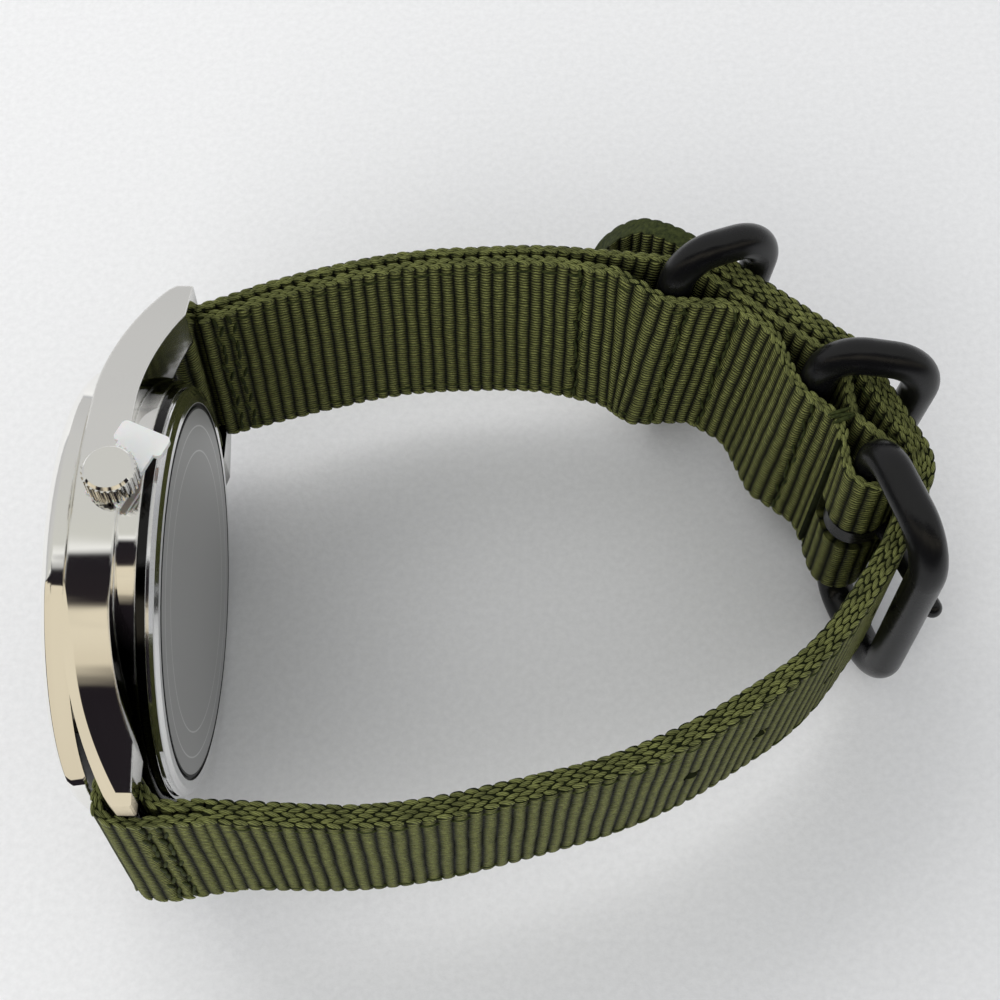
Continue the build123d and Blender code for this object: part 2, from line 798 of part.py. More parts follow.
def outer_run(z):
    """Middle line of the outer run: spring bar, over both rings' bars, round the hinge bar."""
    middle = short_middle(z)
    over_ring_2 = way_between(ring_2_bar(z), ring_1_bar(z))
    tack = pinch(z, 1)
    to_tack = way_onwards(ring_1_bar(z), tack, -wrap)
    to_hinge = way_towards(tack, hinge_bar, -wrap)
    round_hinge = -leftward(way_between(ring_1_bar(z), hinge_bar))
    back = way_towards(pinch(z, -1), hinge_bar, wrap)
    to_tunnel = way_between(middle[-1] + Vector(0, ply_pitch / 2), ring_2_bar(z) + Vector(0, wrap))
    first_way = way_towards(spring_bar_12, middle[0] + Vector(0, ply_pitch / 2), eye_middle)
    corners = [spring_bar_12 + leftward(first_way) * eye_middle]
    corners += beside(middle, first_way, to_tunnel, ply_pitch / 2)
    corners.append(corner_about(ring_2_bar(z), to_tunnel, over_ring_2, wrap))
    corners.append(corner_about(ring_1_bar(z), over_ring_2, to_tack, wrap))
    corners.append(tack)
    corners.append(corner_about(hinge_bar, to_hinge, round_hinge, wrap))
    corners.append(corner_about(hinge_bar, round_hinge, -back, wrap))
    corners.append(pinch(z, -1) + back * (flap_overrun + ply_gap))
    return corners


def inner_run(z):
    """Middle line of the inner run: beside the outer one, then under both rings' bars."""
    middle = short_middle(z)
    over_ring_2 = way_between(ring_2_bar(z), ring_1_bar(z))
    tack = pinch(z, -1)
    lift = leftward(over_ring_2) * (wrap - ply_pitch)
    rejoin = ring_2_bar(z) + over_ring_2 * rejoin_length + lift
    part = ring_1_bar(z) - over_ring_2 * part_length + lift
    mouth = place(tunnel_mouth_share, mouth_lean, z) - Vector(0, ply_pitch / 2)
    first_way = way_towards(spring_bar_12, middle[0] + Vector(0, ply_pitch / 2), eye_middle)
    start = spring_bar_12 + leftward(first_way) * (eye_middle - ply_pitch)
    start += first_way * (eye_radius + seat_clearance)
    corners = [start]
    to_mouth = way_between(middle[-1] - Vector(0, ply_pitch / 2), mouth)
    corners += beside(middle, first_way, to_mouth, -ply_pitch / 2)
    corners.append(mouth)
    into_tunnel = way_towards(mouth, ring_2_bar(z), wrap)
    corners.append(corner_about(ring_2_bar(z), into_tunnel, way_onwards(ring_2_bar(z), rejoin, wrap), -wrap))
    corners.append(rejoin)
    corners.append(part)
    to_tack = way_onwards(ring_1_bar(z), tack, wrap)
    corners.append(corner_about(ring_1_bar(z), way_towards(part, ring_1_bar(z), wrap), to_tack, -wrap))
    corners.append(tack)
    corners.append(tack + way_towards(tack, hinge_bar, wrap) * flap_overrun)
    return corners


def long_run(z):
    """Middle line of the long strap: spring bar, round the buckle and over the rings to its end."""
    corners = [spring_bar_6]
    corners += [place(share, lean, z) for share, lean in zip(long_strap_shares, long_strap_lean)]
    bend = place(tail_bend_share, tail_lean, z)
    past_hinge = way_between(hinge_bar, ring_1_bar(z))
    to_tail = way_onwards(ring_1_bar(z), bend, tail_wrap)
    to_hinge = way_towards(corners[-1], hinge_bar, tail_wrap)
    corners.append(corner_about(hinge_bar, to_hinge, past_hinge, -tail_wrap))
    corners.append(corner_about(ring_1_bar(z), past_hinge, to_tail, -tail_wrap))
    corners.append(bend)
    corners.append(place(tail_end_share, tail_lean, z))
    return corners


def webbing(run, bends, half_thickness):
    """A woven band along its middle line, lofted through four heights with bevelled selvedges."""
    flat_edge = half_width - selvedge_width
    heights = (-half_width, -flat_edge, flat_edge, half_width)
    bevels = (selvedge_bevel, 0, 0, selvedge_bevel)
    with BuildPart() as band:
        for z, bevel in zip(heights, bevels):
            half = half_thickness - bevel
            points = run(z)
            ways = [way_between(a, b) for a, b in zip(points, points[1:])]
            left = [points[0] + leftward(ways[0]) * half]
            right = [points[0] - leftward(ways[0]) * half]
            left_bends = []
            right_bends = []
            for point, before, after, bend in zip(points[1:], ways, ways[1:], bends):
                left.append(corner_about(point, before, after, half))
                right.append(corner_about(point, before, after, -half))
                turn = 1 if before.cross(after).Z > 0 else -1
                left_bends.append(bend - turn * half)
                right_bends.append(bend + turn * half)
            left.append(points[-1] + leftward(ways[-1]) * half)
            right.append(points[-1] - leftward(ways[-1]) * half)
            with BuildSketch(Plane.XY.offset(z)):
                with BuildLine():
                    FilletPolyline(*left, radius=left_bends)
                    Line(left[-1], right[-1])
                    FilletPolyline(*right, radius=right_bends)
                    Line(left[0], right[0])
                make_face()
        loft(ruled=True)
    return band


# Short strap's outer run: eye round the spring bar, loop round the hinge bar, slot for the prong
outer_bends = (soft_bend, soft_bend, soft_bend, wrap_bend, wrap_bend, tight_bend, wrap_bend, wrap_bend)
outer_band = webbing(outer_run, outer_bends, half_ply)
with BuildPart() as short_strap_outer_run:
    add(outer_band.part)
    with BuildSketch(Plane.XY.offset(-half_width)):
        with Locations(spring_bar_12):
            Circle(eye_radius)
    extrude(amount=strap_width)
    with BuildSketch(Plane.XY.offset(-half_width)):
        with Locations(spring_bar_12):
            Circle(eye_bore_radius)
    extrude(amount=strap_width, mode=Mode.SUBTRACT)
    with BuildSketch(Plane.XY.offset(-prong_slot_width / 2)):
        with Locations(hinge_bar):
            Circle(prong_slot_reach)
    extrude(amount=prong_slot_width, mode=Mode.SUBTRACT)
hand_in(short_strap_outer_run, "short_strap_outer_run")

# Short strap's inner run: sewn under the outer run, parted from it where a ring's bar passes
inner_bends = (
    soft_bend, soft_bend, firm_bend, tight_bend, wrap_bend, tight_bend, tight_bend, wrap_bend, tight_bend
)
short_strap_inner_run = webbing(inner_run, inner_bends, half_ply)
hand_in(short_strap_inner_run, "short_strap_inner_run")

# Prong line: past the hinge bar, through the long strap and over the buckle's far bar
prong_rest = rod_radius + prong_radius + prong_clearance
prong_turn = degrees(asin((prong_rest - prong_eye_offset) / buckle_bar_distance))
prong_way = heading(buckle_angle + prong_turn)
prong_start = hinge_bar + leftward(prong_way) * prong_eye_offset
prong_length = buckle_bar_distance + prong_overhang
prong_axis = Plane(origin=prong_start, z_dir=prong_way)

# Long strap: double webbing, punched holes, the prong's slanting hole and a rounded end
tail_way = way_between(place(tail_bend_share), place(tail_end_share))
tail_plane = Plane(origin=place(tail_end_share), x_dir=tail_way, z_dir=leftward(tail_way))
long_bends = (tight_bend, soft_bend, soft_bend, firm_bend, firm_bend, tail_bend, tail_bend, tail_bend)
long_band = webbing(long_run, long_bends, half_double)
with BuildPart() as long_strap:
    add(long_band.part)
    with BuildSketch(Plane.XY.offset(-half_width)):
        with Locations(spring_bar_6):
            Circle(eye_radius)
        with Locations(spring_bar_6 - Vector(0, fold_reach)):
            Circle(fold_radius)
    extrude(amount=strap_width)
    with BuildSketch(Plane.XY.offset(-half_width)):
        with Locations(spring_bar_6):
            Circle(eye_bore_radius)
    extrude(amount=strap_width, mode=Mode.SUBTRACT)
    with BuildSketch(prong_axis.offset(half_ply)):
        Circle(prong_radius + prong_hole_clearance)
    extrude(amount=prong_length - prong_overhang, mode=Mode.SUBTRACT)
    for hole_share in punched_hole_shares:
        run_start = place(long_strap_shares[int(hole_share)])
        run_end = place(long_strap_shares[int(hole_share) + 1])
        hole_middle = run_start + (run_end - run_start) * (hole_share % 1)
        with BuildSketch(Plane(origin=hole_middle, z_dir=leftward(way_between(run_start, run_end)))):
            Circle(strap_hole_radius)
        extrude(amount=long_strap_thickness, both=True, mode=Mode.SUBTRACT)
    with BuildSketch(tail_plane):
        with Locations((0, 0)):
            Rectangle(strap_width, 2 * strap_width)
        with Locations((-half_width, 0)):
            Circle(half_width, mode=Mode.SUBTRACT)
        with Locations((-half_width, 0)):
            Rectangle(strap_width - half_width, 2 * strap_width, mode=Mode.INTERSECT)
    extrude(amount=half_width / 2, both=True, mode=Mode.SUBTRACT)
hand_in(long_strap, "long_strap")


def rod_loop(bar, way, lean, lift, distance, height, near_corner, far_corner):
    """A closed frame of round rod whose strap-side bar passes a plan point, leaning in its plane."""
    up = way * sin(radians(lean)) + Vector(0, 0, cos(radians(lean)))
    out = way * cos(radians(lean)) - Vector(0, 0, sin(radians(lean)))
    frame_plane = Plane(origin=bar, x_dir=out, z_dir=way.cross(up))
    top = lift + height / 2 - rod_radius
    bottom = lift - height / 2 + rod_radius
    with BuildPart() as piece:
        with BuildLine(frame_plane) as path:
            FilletPolyline(
                (0, bottom), (distance, bottom), (distance, top), (0, top),
                radius=[near_corner, far_corner, far_corner, near_corner], close=True,
            )
        with BuildSketch(Plane(origin=path.line @ 0, z_dir=path.line % 0)):
            Circle(rod_radius)
        sweep()
    return piece


keeper_ring_1 = rod_loop(
    ring_1_bar(0), ring_1_way, ring_1_lean, ring_1_lift,
    ring_bar_distance, ring_height, ring_near_corner, ring_far_corner
)
hand_in(keeper_ring_1, "keeper_ring_1")
keeper_ring_2 = rod_loop(
    ring_2_bar(0), ring_2_way, ring_2_lean, ring_2_lift,
    ring_bar_distance, ring_height, ring_near_corner, ring_far_corner
)
hand_in(keeper_ring_2, "keeper_ring_2")
buckle_frame = rod_loop(
    hinge_bar, buckle_way, 0, buckle_lift,
    buckle_bar_distance, buckle_height, buckle_hinge_corner, buckle_far_corner
)
hand_in(buckle_frame, "buckle_frame")

# Prong: an eye round the hinge bar and a round shaft with a rounded tip
prong_bore_radius = rod_radius + prong_clearance
with BuildPart() as buckle_prong:
    with BuildSketch(Plane.XY.offset(-prong_eye_width / 2)):
        with Locations(hinge_bar):
            Circle(prong_bore_radius + prong_radius)
    extrude(amount=prong_eye_width)
    with BuildSketch(prong_axis):
        Circle(prong_radius)
    extrude(amount=prong_length)
    with Locations(prong_start + prong_way * prong_length):
        Sphere(prong_radius)
    with BuildSketch(Plane.XY.offset(-prong_eye_width)):
        with Locations(hinge_bar):
            Circle(prong_bore_radius)
    extrude(amount=2 * prong_eye_width, mode=Mode.SUBTRACT)
hand_in(buckle_prong, "buckle_prong")
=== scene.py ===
# %% [markdown]
# A field watch stands on its side with its nylon strap buckled behind it. The hard pieces come from
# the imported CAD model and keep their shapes; here they get finishes. The woven strap, its sewing and
# the print on the dial are modelled in this file, because a weave is too fine for a CAD solid.

# %% Load the CAD frame
import bpy
import math
import numpy as np
from mathutils import Matrix, Vector


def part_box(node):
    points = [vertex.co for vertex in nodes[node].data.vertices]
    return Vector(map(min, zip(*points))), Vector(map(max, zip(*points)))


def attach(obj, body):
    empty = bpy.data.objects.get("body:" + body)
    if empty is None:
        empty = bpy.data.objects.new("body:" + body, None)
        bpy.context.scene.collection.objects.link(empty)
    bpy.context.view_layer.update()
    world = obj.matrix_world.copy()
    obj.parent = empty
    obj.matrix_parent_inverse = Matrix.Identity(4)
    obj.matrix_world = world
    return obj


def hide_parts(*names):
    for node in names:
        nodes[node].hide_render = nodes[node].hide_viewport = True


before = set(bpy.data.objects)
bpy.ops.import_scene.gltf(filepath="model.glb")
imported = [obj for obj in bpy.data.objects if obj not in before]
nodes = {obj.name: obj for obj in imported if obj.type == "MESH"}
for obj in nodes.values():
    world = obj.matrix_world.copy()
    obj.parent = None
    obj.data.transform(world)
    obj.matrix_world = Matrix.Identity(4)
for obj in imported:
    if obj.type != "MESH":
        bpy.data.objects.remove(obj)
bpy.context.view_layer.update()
MM = 0.001

# %% [markdown]
# The finishes share one node group: uneven marks between two values, which break up a colour or a
# roughness the way handling does, or give a surface's fine grain as a height. The other shared effect,
# the threads of the webbing, follows where the nylon is made.


# %% Handling marks
def new_group(name, inputs, outputs):
    """A node group with its sockets; a vector is given as None, a number by its value."""
    group = bpy.data.node_groups.new(name, "ShaderNodeTree")
    for title, value in inputs.items():
        kind = "NodeSocketVector" if value is None else "NodeSocketFloat"
        socket = group.interface.new_socket(name=title, in_out="INPUT", socket_type=kind)
        if value is not None:
            socket.default_value = value
    for title in outputs:
        group.interface.new_socket(name=title, in_out="OUTPUT", socket_type="NodeSocketFloat")
    return group, group.nodes.new("NodeGroupInput"), group.nodes.new("NodeGroupOutput")


def noise_node(tree, vector, detail, scale=5.0):
    noise = tree.nodes.new("ShaderNodeTexNoise")
    noise.inputs["Scale"].default_value = scale
    noise.inputs["Detail"].default_value = detail
    tree.links.new(vector, noise.inputs["Vector"])
    return noise


def handling_group():
    """Noise as a value between two ends, for colour, roughness or height."""
    inputs = {"Vector": None, "Smudge Scale": 120.0, "Low": 0.1, "High": 0.2}
    group, entry, leave = new_group("handling marks", inputs, ["Value"])
    noise = noise_node(group, entry.outputs["Vector"], 5.0)
    noise.inputs["Roughness"].default_value = 0.6
    group.links.new(entry.outputs["Smudge Scale"], noise.inputs["Scale"])
    spread = group.nodes.new("ShaderNodeMapRange")
    spread.inputs["From Min"].default_value = 0.3
    spread.inputs["From Max"].default_value = 0.7
    group.links.new(noise.outputs["Fac"], spread.inputs["Value"])
    group.links.new(entry.outputs["Low"], spread.inputs["To Min"])
    group.links.new(entry.outputs["High"], spread.inputs["To Max"])
    group.links.new(spread.outputs["Result"], leave.inputs["Value"])
    return group


handling = handling_group()
print("shared group:", handling.name)

# %% [markdown]
# Each finish is a material with one Principled shader. These helpers each make a node, set its values
# and link it, so that a finish below reads as a short list of what is special about it.


# %% Helpers for the finishes
def new_material(name, color, metallic=0.0, roughness=0.4, specular=0.5):
    """A material with its Principled shader, set plainly."""
    material = bpy.data.materials.new(name)
    material.use_nodes = True
    shader = material.node_tree.nodes["Principled BSDF"]
    shader.inputs["Base Color"].default_value = (*color, 1.0)
    shader.inputs["Metallic"].default_value = metallic
    shader.inputs["Roughness"].default_value = roughness
    shader.inputs["Specular IOR Level"].default_value = specular
    return material, material.node_tree, shader


def object_space(tree):
    return tree.nodes.new("ShaderNodeTexCoord").outputs["Object"]


def marks(tree, vector, scale, low, high):
    """Place the handling group with its own values and return its output."""
    node = tree.nodes.new("ShaderNodeGroup")
    node.node_tree = handling
    node.inputs["Smudge Scale"].default_value = scale
    node.inputs["Low"].default_value = low
    node.inputs["High"].default_value = high
    tree.links.new(vector, node.inputs["Vector"])
    return node.outputs["Value"]


def roughen(tree, shader, scale, low, high, vector=None):
    """Break up a shader's roughness with marks between two values."""
    value = marks(tree, vector or object_space(tree), scale, low, high)
    tree.links.new(value, shader.inputs["Roughness"])


def bump(tree, shader, height, strength, distance):
    """Let a height tilt a shader's normal, at most over a distance in metres."""
    node = tree.nodes.new("ShaderNodeBump")
    node.inputs["Strength"].default_value = strength
    node.inputs["Distance"].default_value = distance
    tree.links.new(height, node.inputs["Height"])
    tree.links.new(node.outputs["Normal"], shader.inputs["Normal"])
    return node


def grain(tree, shader, scale, strength, depth):
    """Give a surface a fine grain, its depth in millimetres."""
    bump(tree, shader, marks(tree, object_space(tree), scale, 0.0, 1.0), strength, depth * MM)


def calc(group, kind, a, b=None):
    """A math node in a tree or a group, fed by numbers or sockets."""
    node = group.nodes.new("ShaderNodeMath")
    node.operation = kind
    for index, value in enumerate((a, b)):
        if isinstance(value, (int, float)):
            node.inputs[index].default_value = value
        elif value is not None:
            group.links.new(value, node.inputs[index])
    return node.outputs[0]


def stretched(tree, scale):
    """Object space, stretched along an axis, for brushed grain."""
    mapping = tree.nodes.new("ShaderNodeMapping")
    mapping.inputs["Scale"].default_value = scale
    tree.links.new(object_space(tree), mapping.inputs["Vector"])
    return mapping.outputs["Vector"]


def tint(tree, shader, factor, dark, light):
    """Colour between two tones, by a value."""
    ramp = tree.nodes.new("ShaderNodeValToRGB")
    ramp.color_ramp.elements[0].color = (*dark, 1.0)
    ramp.color_ramp.elements[1].color = (*light, 1.0)
    tree.links.new(factor, ramp.inputs["Fac"])
    tree.links.new(ramp.outputs["Color"], shader.inputs["Base Color"])


def pick(piece):
    """Make a piece the only selected one, and the active one."""
    bpy.ops.object.select_all(action="DESELECT")
    piece.select_set(True)
    bpy.context.view_layer.objects.active = piece


def dress(material, *names):
    """Give CAD nodes a material in place of their plain one."""
    for name in names:
        mesh = nodes[name].data
        mesh.materials.clear()
        mesh.materials.append(material)
    print(material.name, "is on", *names)


print(len(nodes), "CAD pieces wait for a finish")

# %% [markdown]
# The case is polished steel, where only faint wiping marks break the reflections. How it looks is
# decided by where its normals point, so this cell prepares masks, made from the place of a point, and
# small turns of the normal. X runs from the dial, below zero, to the case back at zero, Y from 6 to
# 12 o'clock, and Z from the far side up to the crown.


# %% Masks and normals for steel
STEEL = (0.90, 0.89, 0.86)
WIPING_MARKS = 90.0
LEAN_REACH = (-24.0 * MM, -7.0 * MM)
LEAN = (-0.49, -0.68)
OCCLUSION_SHADE_REACH = 8.0 * MM


def product(tree, *values):
    """Numbers and sockets multiplied in a row."""
    total = values[0]
    for value in values[1:]:
        total = calc(tree, "MULTIPLY", total, value)
    return total


def inverse(tree, share):
    return calc(tree, "SUBTRACT", 1.0, share)


def parts_of(tree, vector):
    """The X, Y and Z of a place or a direction."""
    split = tree.nodes.new("ShaderNodeSeparateXYZ")
    tree.links.new(vector, split.inputs["Vector"])
    return split.outputs["X"], split.outputs["Y"], split.outputs["Z"]


def step_mask(tree, value, low, high, start=0.0, end=1.0):
    """From a start to an end, while a measure rises between two limits."""
    edge = tree.nodes.new("ShaderNodeMapRange")
    for name, number in (("From Min", low), ("From Max", high), ("To Min", start), ("To Max", end)):
        edge.inputs[name].default_value = number
    tree.links.new(value, edge.inputs["Value"])
    return edge.outputs["Result"]


def crowded(tree):
    """Zero in the open, and one in the narrow places between steel and strap, which get painted shade.
    """
    open_share = tree.nodes.new("ShaderNodeAmbientOcclusion")
    open_share.samples = 8
    open_share.inputs["Distance"].default_value = OCCLUSION_SHADE_REACH
    return inverse(tree, calc(tree, "POWER", open_share.outputs["AO"], 5.0))


def soft_edges(tree, radius):
    """The normal with rounded edges, which catch light as those of milled steel do."""
    edges = tree.nodes.new("ShaderNodeBevel")
    edges.samples = 4
    edges.inputs["Radius"].default_value = radius
    return edges.outputs["Normal"]


def leaned(tree, normal, share, target):
    """A normal leaned by a share towards a fixed direction or a socket's."""
    mix = tree.nodes.new("ShaderNodeMix")
    mix.data_type = "VECTOR"
    if isinstance(target, tuple):
        mix.inputs["B"].default_value = target
    else:
        tree.links.new(target, mix.inputs["B"])
    tree.links.new(share, mix.inputs["Factor"])
    tree.links.new(normal, mix.inputs["A"])
    return mix.outputs["Result"]


def warm_way(tree, height):
    """The direction that mirrors the warm wall towards the viewer, at each height of the case."""
    way = tree.nodes.new("ShaderNodeCombineXYZ")
    way.inputs["Z"].default_value = 1.0
    tree.links.new(step_mask(tree, height, *LEAN_REACH, *LEAN), way.inputs["Y"])
    return way.outputs["Vector"]


def steel(name, scale, smooth, wiped):
    """Polished steel with wiping marks between two roughnesses."""
    material, tree, shader = new_material(name, STEEL, 1.0, 0.05)
    roughen(tree, shader, scale, smooth, wiped)
    return material, tree, shader


print("steel is", STEEL)

# %% [markdown]
# The bezel's wall stands square to the dial and would mirror the dark band of the room. A real bezel is
# slightly tapered, so its lower half leans its normal towards the warm wall. The crown's bevel leans a
# little towards the crown's flat top.

# %% Bezel and crown
BEZEL_WALL = -8.6 * MM
CROWN_BEVEL = (0.40, 0.50)

polish, tree, shader = steel("polished steel", WIPING_MARKS, 0.03, 0.08)
x, y, z = parts_of(tree, object_space(tree))
wall = step_mask(tree, x, BEZEL_WALL, BEZEL_WALL + 0.1 * MM)
lower_half = step_mask(tree, y, -9.5 * MM, -7.5 * MM, 0.9, 0.0)
crown_side = step_mask(tree, z, 2.0 * MM, 4.0 * MM)
share = product(tree, wall, lower_half, crown_side)
normal = leaned(tree, soft_edges(tree, 0.16 * MM), share, warm_way(tree, y))
tree.links.new(normal, shader.inputs["Normal"])
dress(polish, "bezel")

turned, tree, shader = steel("turned steel", 120.0, 0.03, 0.09)
normal = soft_edges(tree, 0.04 * MM)
share = step_mask(tree, parts_of(tree, normal)[2], *CROWN_BEVEL, 0.0, 0.30)
tree.links.new(leaned(tree, normal, share, (0.0, 0.0, 1.0)), shader.inputs["Normal"])
dress(turned, "crown")

# %% [markdown]
# The flank is very slightly hollow from its middle to 6 o'clock: a bump whose slope grows with the
# distance moves the mirrored bands of the room along it. A chamfer runs down the front edge of the
# lower lug, straight, then curved with the lug, and ends before the tip. The slot between each pair of
# lugs and the narrow places beside the strap are painted nearly black as shade.

# %% Middle of the case
FLANK_SWEEP = 25.0
FRONT_PLACE, FRONT_CURVE = -6.9 * MM, 24.0
LUG_START, LUG_END = 10.5 * MM, 24.2 * MM
CHAMFER_WIDTH = 1.0 * MM
PAINTED_SHADE_STEEL = (0.01, 0.01, 0.01)

swept, tree, shader = steel("swept polished steel", WIPING_MARKS, 0.03, 0.08)
x, y, z = parts_of(tree, object_space(tree))
below = calc(tree, "MINIMUM", y, 0.0)
flank = bump(tree, shader, product(tree, below, below, -FLANK_SWEEP / 2), 1.0, 1.0)
tree.links.new(soft_edges(tree, 0.30 * MM), flank.inputs["Normal"])

lug_way = calc(tree, "MINIMUM", calc(tree, "ADD", y, LUG_START), 0.0)
front_line = calc(tree, "ADD", product(tree, lug_way, lug_way, FRONT_CURVE), FRONT_PLACE)
from_front = calc(tree, "SUBTRACT", x, front_line)
from_front = calc(tree, "MINIMUM", from_front, calc(tree, "ADD", y, LUG_END))
narrower = step_mask(tree, y, -13.0 * MM, -7.5 * MM, 0.0, CHAMFER_WIDTH)
from_front = calc(tree, "ADD", from_front, narrower)
chamfer = step_mask(tree, from_front, CHAMFER_WIDTH - 0.12 * MM, CHAMFER_WIDTH, 1.0, 0.0)
lower_lug = step_mask(tree, y, -9.0 * MM, -7.0 * MM, 1.0, 0.0)
flank_side = step_mask(tree, z, 9.0 * MM, 9.2 * MM)
share = product(tree, chamfer, lower_lug, flank_side)
normal = leaned(tree, flank.outputs["Normal"], share, warm_way(tree, y))
tree.links.new(normal, shader.inputs["Normal"])

# Painted shade: the steel's colour goes nearly black in the slot between the lugs and in the narrow
# places beside the strap.
from_middle = calc(tree, "ABSOLUTE", y)
between_lugs = step_mask(tree, calc(tree, "ABSOLUTE", z), 10.25 * MM, 10.35 * MM, 1.0, 0.0)
outward = step_mask(tree, from_middle, 15.0 * MM, 16.5 * MM)
slot_painted_shade = inverse(tree, product(tree, between_lugs, outward))
by_strap = step_mask(tree, from_middle, 8.0 * MM, 12.0 * MM)
shadow = inverse(tree, product(tree, by_strap, crowded(tree)))
tint(tree, shader, product(tree, slot_painted_shade, shadow), PAINTED_SHADE_STEEL, STEEL)
dress(swept, "mid_case")

# %% [markdown]
# The case back is a fine matt disc with two engraved circles, a thin dark groove and a polished rim,
# so its finish depends on the distance from the watch's axis. The rim's side leans its normal to the
# back, which makes it as light as the rim's bevel. Further down, the side is painted nearly black as
# shade.

# %% Case back and satin steel
DISC_RADIUS, GROOVE_RADIUS, WALL_RADIUS = 16.2 * MM, 16.74 * MM, 17.98 * MM
RIM_DEPTH = -0.88 * MM
CIRCLE_SHARES = (0.772, 0.909)
DISC_SHADE, RIM_SHADE, PAINTED_SHADE_SHARE = 0.46, 0.86, 0.97


def on_line(tree, value, middle, half_width):
    """One where a measure lies within half a width of a line, else zero."""
    line = calc(tree, "COMPARE", value, middle)
    line.node.inputs[2].default_value = half_width
    return line


back_steel, tree, shader = new_material("case back steel", (0.5, 0.5, 0.5), 1.0, 0.4)
x, y, z = parts_of(tree, object_space(tree))
squares = calc(tree, "ADD", product(tree, y, y), product(tree, z, z))
distance = calc(tree, "SQRT", squares)
matt = step_mask(tree, distance, GROOVE_RADIUS, GROOVE_RADIUS + 0.1 * MM, 0.46, 0.10)
tree.links.new(matt, shader.inputs["Roughness"])
shade = step_mask(tree, distance, GROOVE_RADIUS, GROOVE_RADIUS + 0.05 * MM, DISC_SHADE, RIM_SHADE)
beyond = step_mask(tree, distance, WALL_RADIUS - 0.02 * MM, WALL_RADIUS)
rim_side = step_mask(tree, x, RIM_DEPTH - 0.02 * MM, RIM_DEPTH)
# Painted shade: below the rim's side the wall's colour is taken nearly to black.
dark = product(tree, beyond, inverse(tree, rim_side), PAINTED_SHADE_SHARE)
groove = on_line(tree, distance, (DISC_RADIUS + GROOVE_RADIUS) / 2, 0.25 * MM)
shade = product(tree, shade, inverse(tree, dark), inverse(tree, groove))
for circle in CIRCLE_SHARES:
    line = on_line(tree, distance, circle * DISC_RADIUS, 0.07 * MM)
    shade = calc(tree, "ADD", shade, product(tree, line, 0.22))
tint(tree, shader, shade, (0.0, 0.0, 0.0), (1.0, 1.0, 1.0))
brushing = marks(tree, stretched(tree, (1, 1, 0.06)), 2600.0, 0.0, 1.0)
brushed = bump(tree, shader, brushing, 0.10, 0.02 * MM)
plain_normal = tree.nodes.new("ShaderNodeNewGeometry").outputs["Normal"]
share = product(tree, beyond, rim_side, 0.62)
tree.links.new(leaned(tree, plain_normal, share, (1.0, 0.0, 0.0)), brushed.inputs["Normal"])
dress(back_steel, "caseback")

satin, tree, shader = new_material("satin steel", (0.62, 0.61, 0.60), 1.0, 0.28)
roughen(tree, shader, 1500.0, 0.2, 0.36, stretched(tree, (1, 1, 0.1)))
dress(satin, "crown_tube", "stem")
for bar in ("spring_bar_12", "spring_bar_6"):
    dress(satin, bar + "_tube", bar + "_tip_crown_side", bar + "_tip_far_side")

# %% [markdown]
# Buckle, prong and rings are steel rod with a black coating. It is slightly glossy, and its fine
# pebbles spread each highlight.

# %% Black coating
coating, tree, shader = new_material("black coating", (0.004, 0.004, 0.0046), 0.0, 0.36, 0.34)
grain(tree, shader, 5200.0, 0.18, 0.03)
roughen(tree, shader, 160.0, 0.2, 0.34)
dress(coating, "buckle_frame", "buckle_prong", "keeper_ring_1", "keeper_ring_2")

# %% [markdown]
# The stopper is thin white plastic that light passes through, the gaskets are black rubber, the glass
# is clear, and the movement's pieces look like their real metals.

# %% Plastics, rubber, glass and movement
milky, tree, shader = new_material("milky plastic", (0.93, 0.93, 0.91), 0.0, 0.42)
shader.inputs["Transmission Weight"].default_value = 0.25
shader.inputs["Subsurface Weight"].default_value = 0.3
shader.inputs["Subsurface Scale"].default_value = 0.6 * MM
grain(tree, shader, 1400.0, 0.08, 0.04)
dress(milky, "crown_stopper")

rubber, tree, shader = new_material("gasket rubber", (0.02, 0.02, 0.02), 0.0, 0.7)
grain(tree, shader, 2400.0, 0.1, 0.03)
dress(rubber, "crystal_gasket", "caseback_gasket", "crown_gasket")

clear, tree, shader = new_material("mineral glass", (1.0, 1.0, 1.0), 0.0, 0.0)
shader.inputs["Transmission Weight"].default_value = 1.0
shader.inputs["IOR"].default_value = 1.5
dress(clear, "crystal")

holder_plastic, tree, shader = new_material("holder plastic", (0.70, 0.70, 0.66), 0.0, 0.5)
grain(tree, shader, 900.0, 0.1, 0.05)
dress(holder_plastic, "movement_holder")
for name, color, metallic, rough in (
    ("movement_plate", (0.66, 0.52, 0.28), 1.0, 0.3),
    ("train_bridge", (0.66, 0.66, 0.66), 1.0, 0.26),
    ("circuit_board", (0.03, 0.16, 0.07), 0.0, 0.45),
    ("battery", (0.70, 0.70, 0.70), 1.0, 0.2),
    ("coil", (0.55, 0.22, 0.09), 1.0, 0.35),
):
    inner, tree, shader = new_material(name.replace("_", " ") + " finish", color, metallic, rough)
    roughen(tree, shader, 2200.0, rough - 0.08, rough + 0.1, stretched(tree, (1, 0.05, 1)))
    dress(inner, name)

# %% [markdown]
# The strap is ribbed nylon webbing. Its ribs run across the width, 1.2 mm apart, and both faces show
# them as round columns, so they are real relief on a grid that follows the strap's route. Only the
# fine threads wound round each rib are left to the material.
#
# The route is the CAD strap's own: corners of its middle line at the lower and the upper edge, and a
# radius for each bend, all in millimetres.

